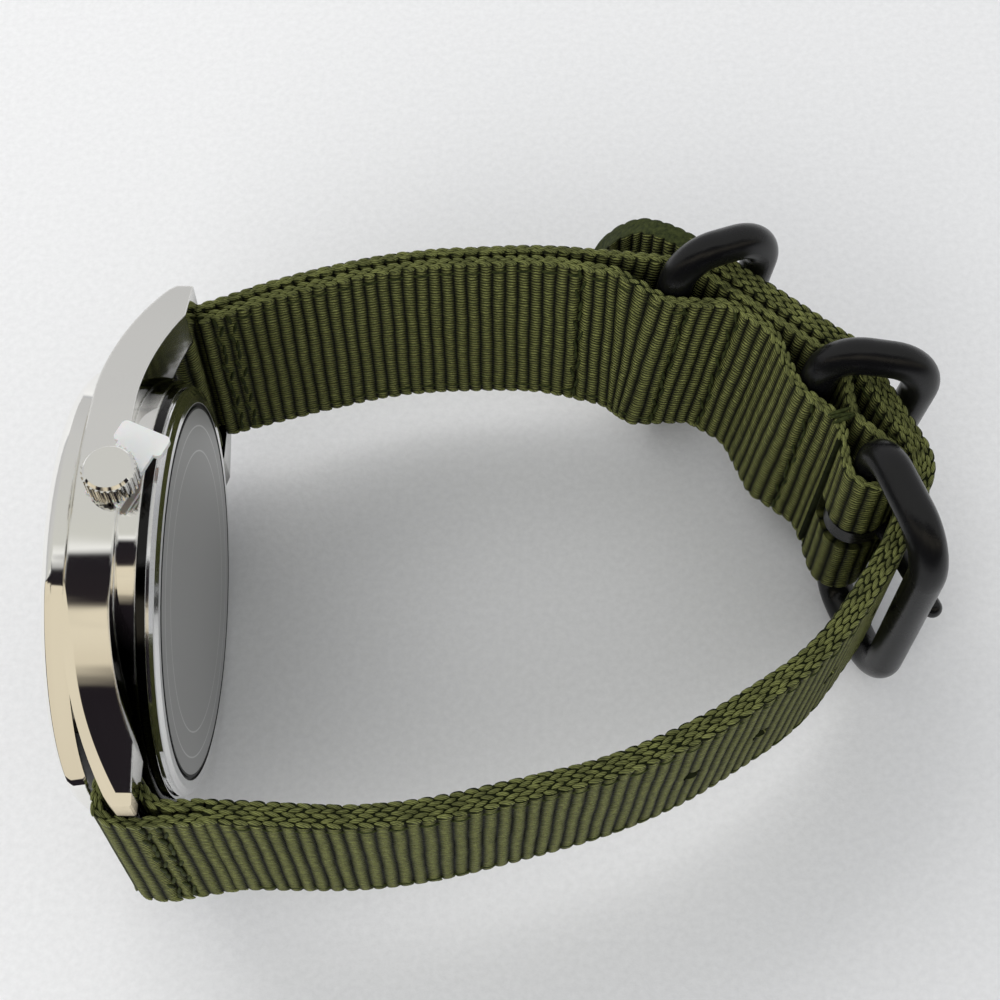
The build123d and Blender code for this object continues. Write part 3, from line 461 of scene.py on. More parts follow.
# %% Corners of the bands
HALF_WIDTH, RIB, DOUBLE, PLY = 9.9, 1.2, 2.22, 1.06
LONG_LOW = [
    (-2.6, -21.6), (-0.5, -23.4), (19.0, -23.17), (40.0, -17.21), (54.0, -8.08), (60.5, 1.0),
    (64.12, 8.91), (56.8, 20.64), (40.0, 32.66), (35.9, 34.2)
]
LONG_HIGH = [
    (-2.6, -21.6), (-0.5, -23.4), (19.0, -24.03), (40.0, -18.59), (54.0, -9.12), (60.5, 1.0),
    (63.96, 8.57), (58.84, 20.18), (40.0, 35.44), (35.9, 37.2)
]
LONG_BENDS = [3.0, 45.0, 45.0, 24.0, 24.0, 4.08, 4.08, 4.08]
FOLD_LOW = [
    (4.3, -22.78), (0.1, -23.1), (-2.0, -20.2), (-4.2, -20.2), (-4.5, -24.65), (-1.5, -25.0),
    (4.3, -23.93)
]
FOLD_HIGH = [
    (4.3, -22.98), (0.1, -23.15), (-2.0, -20.2), (-4.2, -20.2), (-4.35, -24.1), (-1.5, -24.6),
    (4.3, -24.13)
]
FOLD_BENDS = [2.5, 1.2, 1.3, 1.6, 3.0]
OUTER_LOW = [
    (-3.02, 22.93), (6.82, 26.08), (16.9, 29.02), (30.5, 29.44), (41.49, 28.96), (55.79, 19.11),
    (57.0, 13.47), (63.47, 8.37), (57.68, 4.76), (56.49, 10.22)
]
OUTER_HIGH = [
    (-3.14, 22.89), (6.79, 27.11), (16.89, 30.23), (30.51, 31.17), (43.85, 29.92), (57.73, 18.7),
    (57.91, 13.32), (63.52, 7.84), (57.02, 4.97), (56.84, 10.18)
]
OUTER_BENDS = [45.0, 45.0, 45.0, 2.3, 2.3, 3.0, 2.3, 2.3]
INNER_LOW = [
    (-0.74, 22.35), (7.19, 24.88), (17.1, 27.78), (30.43, 28.19), (37.3, 26.36), (39.87, 24.13),
    (45.71, 24.54), (49.35, 22.03), (51.65, 16.19), (55.94, 12.81), (56.36, 10.85)
]
INNER_HIGH = [
    (-0.81, 22.51), (7.22, 25.93), (17.12, 29.0), (30.46, 29.92), (37.3, 28.62), (42.14, 25.21),
    (47.75, 25.16), (51.42, 22.19), (53.25, 16.24), (56.76, 12.81), (56.83, 10.81)
]
INNER_BENDS = [45.0, 45.0, 24.0, 3.0, 2.3, 3.0, 3.0, 2.3, 3.0]
print("corners:", len(LONG_BENDS), len(FOLD_BENDS), len(OUTER_BENDS), len(INNER_BENDS))

# %% [markdown]
# A corner is rounded off to an arc that meets its two neighbours smoothly. So a route becomes a row of
# straight runs and arcs, and any place along it can be worked out.


# %% Runs and arcs
def fillet_pieces(corners, bends):
    """Split a route into pieces: ("run", start, end) and ("arc", centre, arm, turn)."""
    points = [Vector((*c, 0)) for c in corners]
    ways = [(b - a).normalized() for a, b in zip(points, points[1:])]
    pieces = []
    here = points[0]
    for corner, before, after, bend in zip(points[1:], ways, ways[1:], bends):
        turn = math.atan2(before.cross(after).z, before.dot(after))
        trim = bend * abs(math.tan(turn / 2))
        start = corner - before * trim
        side = 1 if turn > 0 else -1
        arm = Vector((before.y, -before.x, 0)) * (side * bend)
        pieces.append(("run", here, start))
        pieces.append(("arc", start - arm, arm, turn))
        here = corner + after * trim
    pieces.append(("run", here, points[-1]))
    return pieces


def piece_length(piece):
    """Length of a run or an arc."""
    if piece[0] == "run":
        return (piece[2] - piece[1]).length
    return piece[2].length * abs(piece[3])


def piece_point(piece, share):
    """The point at a share of a run or an arc."""
    if piece[0] == "run":
        return piece[1].lerp(piece[2], share)
    angle = piece[3] * share
    c, s = math.cos(angle), math.sin(angle)
    arm = piece[2]
    return piece[1] + Vector((arm.x * c - arm.y * s, arm.x * s + arm.y * c, 0))


print("the long band has", len(fillet_pieces(LONG_LOW, LONG_BENDS)), "runs and arcs")

# %% [markdown]
# The two edges of a band differ in length but must stay in step, or the ribs would lean. So a route is
# split where it bends tightly, and each stretch between has as many points on both edges.

# %% Routes of the bands
STEP = 0.13
SOFT_BEND = 10.0
BAR_12 = (-2.60, 21.60)
EYE_RADIUS, EYE_TURN, EYE_POINTS = 1.4, math.radians(230), 44
SEAM_START = 4.0


def stretches(pieces):
    """Group a route's pieces: everything between two tight bends runs in one even stretch."""
    groups, current = [], [pieces[0]]
    for arc, straight in zip(pieces[1::2], pieces[2::2]):
        if arc[2].length > SOFT_BEND:
            current += [arc, straight]
        else:
            groups += [current, [arc]]
            current = [straight]
    return groups + [current]


def stretch_points(group, count):
    """Evenly spaced points of a stretch, its end left out."""
    lengths = [piece_length(piece) for piece in group]
    ends = np.cumsum(lengths)
    points = []
    for reach in np.arange(count) / count * ends[-1]:
        k = min(int(np.searchsorted(ends, reach, side="right")), len(group) - 1)
        points.append(piece_point(group[k], (reach - ends[k] + lengths[k]) / lengths[k]))
    return points


def route(low, high, bends):
    """Points of the middle line at the lower and the upper edge, in step with each other."""
    lower, upper = [], []
    for a, b in zip(stretches(fillet_pieces(low, bends)), stretches(fillet_pieces(high, bends))):
        count = max(2, round(sum(piece_length(piece) for piece in a + b) / 2 / STEP))
        lower += stretch_points(a, count)
        upper += stretch_points(b, count)
    lower.append(Vector((*low[-1], 0)))
    upper.append(Vector((*high[-1], 0)))
    return np.array([[p.x, p.y] for p in lower]), np.array([[q.x, q.y] for q in upper])


def eye_first(lines):
    """Put the wrap round the 12 o'clock spring bar before a route that starts on top of it."""
    longer = []
    for line in lines:
        top = math.atan2(line[0][1] - BAR_12[1], line[0][0] - BAR_12[0])
        turns = np.linspace(top + EYE_TURN, top, EYE_POINTS)[:-1]
        eye = BAR_12 + EYE_RADIUS * np.stack([np.cos(turns), np.sin(turns)], axis=1)
        longer.append(np.concatenate([eye, line]))
    return longer


def run_of(lines):
    """Length run so far along a band's middle."""
    middle = (lines[0] + lines[1]) / 2
    return np.concatenate([[0], np.cumsum(np.linalg.norm(np.diff(middle, axis=0), axis=1))])


long_lines = [line[line[:, 0] > SEAM_START] for line in route(LONG_LOW, LONG_HIGH, LONG_BENDS)]
shortest = min(len(line) for line in long_lines)
long_lines = [line[-shortest:] for line in long_lines]
fold_lines = route(FOLD_LOW, FOLD_HIGH, FOLD_BENDS)
outer_lines = eye_first(route(OUTER_LOW, OUTER_HIGH, OUTER_BENDS))
inner_lines = route(INNER_LOW, INNER_HIGH, INNER_BENDS)
for lines in (long_lines, fold_lines, outer_lines, inner_lines):
    print("a route of", round(run_of(lines)[-1], 1), "mm")

# %% [markdown]
# Around a band, a section has four sides: outer face, upper edge, inner face and lower edge. Cloth is
# drawn in where it is sewn through, and pressed through where a hole is punched.


# %% Section and relief of the webbing
FACE_SHARES = [0.0, 0.045, 0.09, 0.1616, 0.2, 0.35, 0.5, 0.65, 0.8, 0.9, 0.94, 0.97]
EDGE_INSET = 0.28
TACK_DEPTH, TACK_WIDTH = 0.24, 0.5
EDGE_DEPTH, EDGE_START = 0.10, 0.92
HOLE_RADIUS = 0.85


def section(thickness):
    """Places round a band: across, level between the two faces, and which of them lie on a face."""
    flats = np.array([-share for share in FACE_SHARES[:0:-1]] + FACE_SHARES)
    edges = np.linspace(1, -1, max(3, round(thickness / 0.4)) + 2)[1:-1]
    rim = np.full(len(edges), HALF_WIDTH - EDGE_INSET)
    face, side = np.ones(len(flats)), np.zeros(len(edges))
    across = np.concatenate([flats * HALF_WIDTH, rim, -flats * HALF_WIDTH, -rim])
    level = np.concatenate([face, edges, -face, -edges])
    return across, level, np.concatenate([face, side, face, side])


def woven_places(run, across):
    """Places along the band for every grid point, plain and with the slight wander of woven ribs."""
    along = np.repeat(run[:, None], len(across), axis=1)
    drift = 0.035 * np.sin(along * 0.9 + across[None, :] * 0.55)
    drift = drift + 0.02 * np.sin(across[None, :] * 1.7 + 2.0)
    return along, along + drift


def depth_below_face(along, woven, across, level, relief, tacks):
    """How far the cloth lies below its face: between ribs, where it is sewn, and at its edges."""
    rib = (1 - np.abs(2 * np.mod(woven / RIB, 1.0) - 1) ** 2.4) ** 0.6
    uneven = 0.85 + 0.15 * np.sin(np.floor(woven / RIB) * 12.9898 + level[None, :])
    sink = relief * (1 - rib * uneven)
    for place in tacks:
        sink = sink + TACK_DEPTH * np.exp(-((along - place) / TACK_WIDTH) ** 2)
    near_edge = (np.abs(across)[None, :] / HALF_WIDTH - EDGE_START) / (1 - EDGE_START)
    return sink + EDGE_DEPTH * np.clip(near_edge, 0, 1) ** 2


def rounded_width(place, end):
    """Half width of a band that ends in a half circle."""
    left = np.clip(end - place, 0, HALF_WIDTH)
    return np.sqrt(np.clip(HALF_WIDTH ** 2 - (HALF_WIDTH - left) ** 2, 0.3, None))


def grid_points(lines, height, offset):
    """Points between a lower and an upper line, moved out by an offset."""
    share = (height / HALF_WIDTH + 1)[..., None] / 2
    place = lines[0][:, None, :] * (1 - share) + lines[1][:, None, :] * share
    tangent = np.gradient(place, axis=0)
    tangent /= np.linalg.norm(tangent, axis=2, keepdims=True)
    x = place[..., 0] - tangent[..., 1] * offset
    y = place[..., 1] + tangent[..., 0] * offset
    return np.stack([x, y, height], axis=2)


print("doubled webbing has", len(section(DOUBLE)[0]), "points round it")

# %% [markdown]
# The grid closes into one skin with a cap at each end. Where the prong passes, cells are left out of
# both faces and the slot is lined with walls. Rims, holes, end caps and the last rows before some ends
# are painted nearly black as shade; the rim of the half round end takes the darker colour of a cut end.


# %% Faces of the webbing
def slot_cells(run, across, slot, count):
    """Rows and columns of the grid that a slot takes away: top, bottom, first and last."""
    start, stop, half_width = slot
    inside = [j for j in range(count) if abs(across[j]) < half_width - 0.01]
    return np.searchsorted(run, start), np.searchsorted(run, stop), inside[0] - 1, inside[-1] + 1


def slot_walls(cells, columns, facing):
    """Faces that line a slot between the outer and the inner face of a band."""
    top, bottom, first, last = cells
    walls = []
    for i in range(top, bottom):
        for j in (first, last):
            here, ahead = i * columns, (i + 1) * columns
            walls.append((here + j, ahead + j, ahead + facing - j, here + facing - j))
    for j in range(first, last):
        for i in (top, bottom):
            here = i * columns
            walls.append((here + j, here + j + 1, here + facing - j - 1, here + facing - j))
    return walls


def grid_faces(run, across, on_face, count, slot, holes, plain_from, painted_shade_rows):
    """Faces of a band, with the numbers of those painted dark as shade and of those on a cut rim."""
    rows, columns = len(run), len(across)
    facing = columns - (columns // 2 - count) - 1
    gone = set()
    if slot is not None:
        top, bottom, first, last = cells = slot_cells(run, across, slot, count)
        gone = {(i, j) for i in range(top, bottom) for j in range(first, last)}
    faces, painted_shade_faces, cut_faces = [], [], []
    for i in range(rows - 1):
        for j in range(columns):
            if (i, j) in gone or (i, facing - 1 - j) in gone:
                continue
            k = (j + 1) % columns
            in_hole = any(math.hypot(run[i] - x, across[j] - y) < 0.8 for x, y in holes)
            # Holes and the last rows before the end are painted nearly black as shade.
            if in_hole or i >= rows - 1 - painted_shade_rows:
                painted_shade_faces.append(len(faces))
            elif not (on_face[j] and on_face[k]):
                (painted_shade_faces if run[i] < plain_from else cut_faces).append(len(faces))
            here, ahead = i * columns, (i + 1) * columns
            faces.append((here + j, here + k, ahead + k, ahead + j))
    if slot is not None:
        faces += slot_walls(cells, columns, facing)
    painted_shade_faces += [len(faces), len(faces) + 1]
    faces.append(tuple(range(columns))[::-1])
    faces.append(tuple((rows - 1) * columns + j for j in range(columns)))
    return faces, painted_shade_faces, cut_faces


print("a band has", 2 * len(FACE_SHARES) - 1, "columns on each face")

# %% [markdown]
# Every grid point keeps its place along and across the strap as UV coordinates in millimetres, so the
# threads of the material follow each bend.


# %% Pieces of webbing
def mesh_piece(name, points, faces, material):
    """A smooth closed mesh from points in millimetres, its normals made to face outwards."""
    mesh = bpy.data.meshes.new(name)
    mesh.from_pydata([tuple(p) for p in points * MM], [], faces)
    mesh.materials.append(material)
    piece = bpy.data.objects.new(name, mesh)
    bpy.context.collection.objects.link(piece)
    pick(piece)
    bpy.ops.object.mode_set(mode="EDIT")
    bpy.ops.mesh.select_all(action="SELECT")
    bpy.ops.mesh.normals_make_consistent(inside=False)
    bpy.ops.object.mode_set(mode="OBJECT")
    bpy.ops.object.shade_smooth()
    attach(piece, "case")
    return piece


def weave_uv(piece, places):
    """Keep each point's place in millimetres, for the threads of the material."""
    layer = piece.data.uv_layers.new(name="weave")
    used = np.zeros(len(piece.data.loops), dtype=np.int32)
    piece.data.loops.foreach_get("vertex_index", used)
    layer.data.foreach_set("uv", places[used].reshape(-1))


def webbing(name, node, lines, thickness, relief, tacks=(), holes=(), slot=None,
            rounded=False, painted_shade_rows=0):
    """A woven band with ribs on both faces; its knotted edges are added afterwards."""
    run = run_of(lines)
    across, level, on_face = section(thickness)
    along, woven = woven_places(run, across)
    sink = depth_below_face(along, woven, across, level, relief, tacks)
    for place, centre in holes:
        apart = np.hypot(along - place, across[None, :] - centre)
        sink = np.where(apart < HOLE_RADIUS, thickness / 2 * 0.96, sink)
    offset = level * thickness / 2 - np.where(on_face == 1, np.sign(level) * sink, 0.08 * level)
    height = np.repeat(across[None, :], len(run), axis=0)
    if rounded:
        height = height * rounded_width(along, run[-1]) / HALF_WIDTH
    plain_from = run[-1] - HALF_WIDTH if rounded else run[-1]
    count = 2 * len(FACE_SHARES) - 1
    faces, painted_shade_faces, cut_faces = grid_faces(
        run, across, on_face, count, slot, holes, plain_from, painted_shade_rows)
    band = mesh_piece(name, grid_points(lines, height, offset).reshape(-1, 3), faces, nylon)
    for slot_number, material, numbers in ((1, painted_shade_nylon, painted_shade_faces), (2, sewing_thread, cut_faces)):
        band.data.materials.append(material)
        for number in numbers:
            band.data.polygons[number].material_index = slot_number
    side_place = np.repeat((across + np.where(level < 0, 40.0, 0.0))[None, :], len(run), axis=0)
    weave_uv(band, np.stack([woven.reshape(-1), side_place.reshape(-1)], axis=1))
    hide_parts(node)
    print(name, "has", len(faces), "faces")
    return band


print("holes are pressed in over", 2 * HOLE_RADIUS, "mm")

# %% [markdown]
# Each rib is wrapped in fine threads 0.37 mm apart, which step by half a thread from rib to rib. The
# UV place gives a height and a painted shade, darker in the grooves between threads and ribs and
# lighter on the rib tops.


# %% Threads as a node group
THREAD = 0.37


def weave_group():
    """Threads from a place in millimetres: a height, and a painted shade that is dark in the grooves.
    """
    inputs = {"Place": None, "Thread Pitch": THREAD, "Rib Pitch": RIB}
    group, entry, leave = new_group("rib threads", inputs, ["Height", "Shade"])
    along, across, _ = parts_of(group, entry.outputs["Place"])
    wobble = noise_node(group, entry.outputs["Place"], 3.0, 1.3).outputs["Fac"]
    rib_place = calc(group, "DIVIDE", along, entry.outputs["Rib Pitch"])
    rib_share = calc(group, "FRACT", rib_place)
    thread = calc(group, "DIVIDE", across, entry.outputs["Thread Pitch"])
    thread = calc(group, "ADD", thread, product(group, rib_share, 0.35))
    thread = calc(group, "ADD", thread, product(group, calc(group, "FLOOR", rib_place), 0.5))
    thread = calc(group, "ADD", thread, product(group, wobble, 1.2))
    thread_top = calc(group, "ABSOLUTE", calc(group, "SINE", product(group, thread, math.pi)))
    crown = calc(group, "SINE", product(group, rib_share, math.pi))
    swell = calc(group, "ADD", product(group, crown, 0.6), 0.4)
    group.links.new(product(group, thread_top, swell), leave.inputs["Height"])
    lines = calc(group, "ADD", product(group, thread_top, 0.9), 0.1)
    group.links.new(product(group, lines, calc(group, "POWER", crown, 1.5)), leave.inputs["Shade"])
    return group


rib_threads = weave_group()
print("threads group has", len(rib_threads.nodes), "nodes")

# %% [markdown]
# The same olive yarn is bright on the faces, with painted shade in the grooves and rib tops painted
# lighter where light falls. It is a little duller in the thicker yarn of the edges, painted nearly
# black as shade in holes and gaps, and dull where a cut end was sealed by heat.

# %% Nylon, knots, gaps and thread
OLIVE_IN_PAINTED_SHADE = (0.008, 0.009, 0.007)
OLIVE_PAINTED_LIT = (0.345, 0.366, 0.116)


def weave_place(tree):
    """Place along and across a band or a stitch, in millimetres."""
    place = tree.nodes.new("ShaderNodeUVMap")
    place.uv_map = "weave"
    return place.outputs["UV"]


nylon, tree, shader = new_material("olive nylon", (0.10, 0.12, 0.045), 0.0, 0.5, 0.03)
threads = tree.nodes.new("ShaderNodeGroup")
threads.node_tree = rib_threads
tree.links.new(weave_place(tree), threads.inputs["Place"])
blotch = marks(tree, weave_place(tree), 1.6, 0.55, 1.15)
strays = marks(tree, weave_place(tree), 8.0, 0.45, 1.35)
# The threads' shade is painted shade, darker in the grooves and lighter on the rib tops; the blotches
# and strays are the yarn's uneven tone.
shade = product(tree, threads.outputs["Shade"], product(tree, blotch, strays))
tint(tree, shader, shade, OLIVE_IN_PAINTED_SHADE, OLIVE_PAINTED_LIT)
bump(tree, shader, threads.outputs["Height"], 1.0, 0.35 * MM)

selvedge_nylon, tree, shader = new_material("selvedge nylon", (0.07, 0.09, 0.03), 0.0, 0.45, 0.12)
yarn = parts_of(tree, weave_place(tree))
# The twist of the yarn, with painted shade in the grooves between its strands.
twist = calc(tree, "ADD", product(tree, yarn[1], 26.0), product(tree, yarn[0], 5.0))
strand = calc(tree, "ABSOLUTE", calc(tree, "SINE", twist))
strand = calc(tree, "POWER", strand, 0.7)
blotch = marks(tree, object_space(tree), 700.0, 0.35, 1.1)
tint(tree, shader, product(tree, strand, blotch), (0.009, 0.011, 0.007), (0.255, 0.275, 0.088))
bump(tree, shader, strand, 0.8, 0.1 * MM)

# Painted shade: rims between the knots, holes, the last rows and the end caps are nearly black.
painted_shade_nylon, tree, shader = new_material("nylon in painted shade", (0.010, 0.012, 0.005), 0.0, 0.8, 0.05)
strands = marks(tree, object_space(tree), 900.0, 0.0, 1.0)
tint(tree, shader, strands, (0.006, 0.008, 0.003), (0.016, 0.019, 0.007))

sewing_thread, tree, shader = new_material("sewing thread", (0.03, 0.04, 0.02), 0.0, 0.6, 0.06)
strands = marks(tree, object_space(tree), 2600.0, 0.0, 1.0)
tint(tree, shader, strands, (0.014, 0.019, 0.007), (0.050, 0.060, 0.018))
bump(tree, shader, strands, 0.4, 0.05 * MM)
print("made", nylon.name, "and", sewing_thread.name)

# %% [markdown]
# Four bands make the strap. The long one has punched holes and a half round end, the fold passes round
# the 6 o'clock spring bar, and the outer run has the slot for the prong, where it turns round the
# buckle's bar. Rows of stitches draw the cloth in at the tacks.

# %% The bands
HINGE_BAR, SLOT_REACH, SLOT_HALF_WIDTH = (59.30, 8.60), 3.6, 1.6
INNER_TACKS = (1.6, 2.9, 36.0, 45.5, 50.5, 62.5)
LONG_HOLES = [(40.0, 0.0), (47.0, 0.0), (55.2, 0.0), (62.7, 0.0)]
FOLD_TACKS = (run_of(fold_lines)[-1] - 4.9, run_of(fold_lines)[-1] - 3.6)
webbing("long_webbing", "long_strap", long_lines, DOUBLE, 0.30, holes=LONG_HOLES, rounded=True)
webbing("long_fold", "long_strap", fold_lines, PLY, 0.26, FOLD_TACKS)
outer_middle = (outer_lines[0] + outer_lines[1]) / 2
by_hinge = np.hypot(outer_middle[:, 0] - HINGE_BAR[0], outer_middle[:, 1] - HINGE_BAR[1]) < SLOT_REACH
slot_run = run_of(outer_lines)[by_hinge]
prong_slot = (slot_run[0], slot_run[-1] - 0.3, SLOT_HALF_WIDTH)
webbing("outer_webbing", "short_strap_outer_run", outer_lines, PLY, 0.24, slot=prong_slot, painted_shade_rows=2)
webbing("inner_webbing", "short_strap_inner_run", inner_lines, PLY, 0.24, INNER_TACKS, painted_shade_rows=3)

# %% [markdown]
# At each edge the weft turns back in rows of lens-shaped knots, one to a rib, each row shifted by half
# a knot against the next. One knot is modelled once and copied along the edges, and one stitch is
# copied along the seams in the same way.


# %% A bead and its copies
def bead(length, width, height, segments=8, rings=6):
    """Points and faces of a lens-shaped bead that lies along X."""
    bpy.ops.mesh.primitive_uv_sphere_add(segments=segments, ring_count=rings, radius=1.0)
    ball = bpy.context.active_object
    points = np.array([tuple(v.co) for v in ball.data.vertices])
    faces = [tuple(p.vertices) for p in ball.data.polygons]
    bpy.data.objects.remove(ball)
    taper = 1 - 0.18 * points[:, 2] ** 2
    across, up = points[:, 0] * taper * width / 2, points[:, 1] * taper * height / 2
    return np.stack([points[:, 2] * length / 2, across, up], axis=1), faces


def copies(name, shape, frames, material):
    """One mesh of many copies of a shape: each frame is a place and three directions."""
    shape_points, shape_faces = shape
    points, faces = [], []
    for number, (origin, x_way, y_way, z_way) in enumerate(frames):
        points.append(origin + shape_points @ np.array([x_way, y_way, z_way]))
        start = number * len(shape_points)
        faces.extend(tuple(start + k for k in face) for face in shape_faces)
    piece = mesh_piece(name, np.concatenate(points), faces, material)
    shift = np.repeat(np.arange(len(frames))[:, None] * THREAD, len(shape_points), axis=0)
    weave_uv(piece, np.tile(shape_points[:, :2], (len(frames), 1)) + shift)
    print(name, "has", len(frames), "copies")


def band_point(lines, run, place, height):
    """A point of a band's middle surface, with its ways along the band and out of it."""
    share = (height / HALF_WIDTH + 1) / 2
    line = lines[0] * (1 - share) + lines[1] * share
    here, back, front = (np.array([np.interp(at, run, line[:, k]) for k in (0, 1)])
                         for at in (place, place - 0.25, place + 0.25))
    ahead = (front - back) / np.linalg.norm(front - back)
    return np.array([*here, height]), np.array([*ahead, 0.0]), np.array([-ahead[1], ahead[0], 0.0])


print("a bead has", len(bead(1, 1, 1)[1]), "faces")

# %% [markdown]
# No two knots are quite alike: each slips, tilts and swells a little. The knots of the outer run lie
# closer together, because the first ring brushes past its lower edge when it swings.

# %% Knots along the edges
KNOT = bead(1.24, 0.42, 0.66)
KNOT_PLACE = HALF_WIDTH - 0.34
KNOT_TILT = 9
uneven_hand = np.random.default_rng(7)


def selvedge(name, lines, thickness, row_count, stop=0.0):
    """Uneven rows of knots along both edges, up to a distance before the band's end."""
    run = run_of(lines)
    spacing = thickness / row_count
    frames = []
    for place in np.arange(RIB / 2, run[-1] - stop, RIB):
        for row in range(row_count):
            for side in (1, -1):
                slip, tilt, swell = uneven_hand.uniform(-1, 1, 3)
                shift = RIB / 2 * (row % 2) + 0.10 * slip
                middle, along, out = band_point(lines, run, place + shift, side * KNOT_PLACE)
                origin = middle + out * ((row + 0.5) * spacing - thickness / 2) * 0.86
                angle = math.radians((KNOT_TILT if row % 2 else -KNOT_TILT) + 6 * tilt)
                x_way = along * math.cos(angle) + out * math.sin(angle)
                y_way = out * math.cos(angle) - along * math.sin(angle)
                up = np.array([0.0, 0.0, side * (1 + 0.15 * swell)])
                frames.append((origin, x_way * (1 + 0.10 * swell), y_way * (1 + 0.08 * tilt), up))
    copies(name, KNOT, frames, selvedge_nylon)


selvedge("long_selvedge", long_lines, DOUBLE, 5, stop=HALF_WIDTH)
selvedge("fold_selvedge", fold_lines, PLY, 3)
selvedge("outer_selvedge", outer_lines, PLY - 0.36, 3)
selvedge("inner_selvedge", inner_lines, PLY, 3)

# %% [markdown]
# The sewing has two kinds of rows: running stitches near both edges, and cross rows, whose stitches
# stand on end. Three turns of thread hold the flap over the edge by the buckle.

# %% Stitches and tacks
STITCH = bead(1.75, 0.40, 0.36)
SEAM_HEIGHT = 8.55
CROSS_HEIGHTS = np.arange(-HALF_WIDTH + 1.2, HALF_WIDTH - 0.8, 1.45)
UP = np.array([0.0, 0.0, 1.0])


def sewing(name, lines, thickness, sides, seams, tacks):
    """Running stitches between pairs of places, and a cross row of stitches at each tack."""
    run = run_of(lines)
    frames = []
    for side in sides:
        for start, stop in seams:
            for place in np.arange(start, stop, 2 * RIB):
                for height in (-SEAM_HEIGHT, SEAM_HEIGHT):
                    middle, along, out = band_point(lines, run, place, height)
                    frames.append((middle + out * side * (thickness / 2 - 0.17), along, out, UP))
        for place in tacks:
            for number, height in enumerate(CROSS_HEIGHTS):
                jog = 0.28 * math.sin(number * 2.4)
                middle, along, out = band_point(lines, run, place + jog, height)
                lean = along * math.sin(jog) + UP * math.cos(jog)
                frames.append((middle + out * side * (thickness / 2 - 0.24), lean, along * side, out))
    copies(name, STITCH, frames, sewing_thread)


sewing("long_sewing", long_lines, DOUBLE, (1, -1), [(3.0, run_of(long_lines)[-1] - 11.0)], ())
sewing("fold_sewing", fold_lines, PLY, (-1,), [], FOLD_TACKS)
sewing("outer_sewing", outer_lines, PLY, (1,), [(9.0, 44.0)], (7.2, 8.5))
sewing("inner_sewing", inner_lines, PLY, (-1,), [(4.2, 46.0)], INNER_TACKS)

TACK_PLACE = np.array([56.75, 13.05, HALF_WIDTH + 0.02])
TACK_WAY, TACK_SIDE = np.array([0.95, 0.31, 0.0]), np.array([-0.31, 0.95, 0.0])
turns = []
for shift, lean in ((-0.42, 0.12), (0.0, -0.1), (0.42, 0.05)):
    way = TACK_WAY + TACK_SIDE * lean
    beside = np.array([-way[1], way[0], 0.0])
    turns.append((TACK_PLACE + beside * shift, way, beside, UP))
copies("tack_turns", bead(2.3, 0.40, 0.40, 10, 12), turns, sewing_thread)

# %% [markdown]
# The dial side does not show in the photograph, so it is a plain one: matt black with plain numbers and
# a printed minute track, and white hands.

# %% Dial and hands
matt_black, tree, shader = new_material("dial black", (0.012, 0.012, 0.013), 0.0, 0.55)
grain(tree, shader, 3800.0, 0.06, 0.02)
dress(matt_black, "dial", "chapter_ring")
hand_paint, tree, shader = new_material("hand paint", (0.82, 0.83, 0.80), 0.0, 0.35)
roughen(tree, shader, 700.0, 0.28, 0.42)
dress(hand_paint, "hour_hand", "minute_hand", "second_hand")

# %% [markdown]
# The numbers are text made into a mesh, the ticks are one small block copied round the dial. Both
# stand a hair's breadth proud of the dial, as printed paint does, and read from the glass side.

# %% Dial print
DIAL_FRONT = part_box("dial")[0].x
NUMBER_REACH, NUMBER_SIZE, TRACK_REACH, PRINT_HEIGHT = 11.1, 3.1 * MM, 13.9, 0.03


def dial_place(turn, reach):
    """A point on the dial, by its turn from 12 and its distance in millimetres."""
    return Vector((DIAL_FRONT, math.cos(turn) * reach * MM, math.sin(turn) * reach * MM))


def finished(piece, name):
    """Apply a piece's place to its mesh and let it ride on the case."""
    pick(piece)
    if piece.type != "MESH":
        bpy.ops.object.convert(target="MESH")
    bpy.ops.object.transform_apply(location=True, rotation=True, scale=True)
    piece = bpy.context.active_object
    piece.name = name
    piece.data.materials.clear()
    piece.data.materials.append(hand_paint)
    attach(piece, "case")


facing = Matrix(((0, 0, -1), (0, 1, 0), (1, 0, 0))).to_4x4()
for hour in range(1, 13):
    bpy.ops.object.text_add()
    number = bpy.context.active_object
    number.data.body = str(hour)
    number.data.size = NUMBER_SIZE
    number.data.extrude = PRINT_HEIGHT / 2 * MM
    number.data.align_x = number.data.align_y = "CENTER"
    number.matrix_world = Matrix.Translation(dial_place(math.radians(30 * hour), NUMBER_REACH)) @ facing
    finished(number, f"dial_number_{hour}")

ticks = []
for minute in range(60):
    length, width = (1.3, 0.32) if minute % 5 == 0 else (0.75, 0.13)
    bpy.ops.mesh.primitive_cube_add(size=1.0)
    tick = bpy.context.active_object
    tick.scale = Vector((PRINT_HEIGHT, length, width)) * MM
    inset = 0.28 if minute % 5 == 0 else 0
    tick.location = dial_place(math.radians(6 * minute), TRACK_REACH - inset)
    tick.rotation_euler = (math.radians(6 * minute), 0, 0)
    ticks.append(tick)
pick(ticks[0])
for tick in ticks:
    tick.select_set(True)
bpy.ops.object.join()
finished(bpy.context.active_object, "minute_track")
print("dial front lies at x =", round(DIAL_FRONT / MM, 2), "mm")

# %% [markdown]
# The floor is a pale sheet with a very fine nap. The watch leans a little on it: it touches the floor
# with its bezel, the buckle and the second ring, so the floor is a plane through these three points.

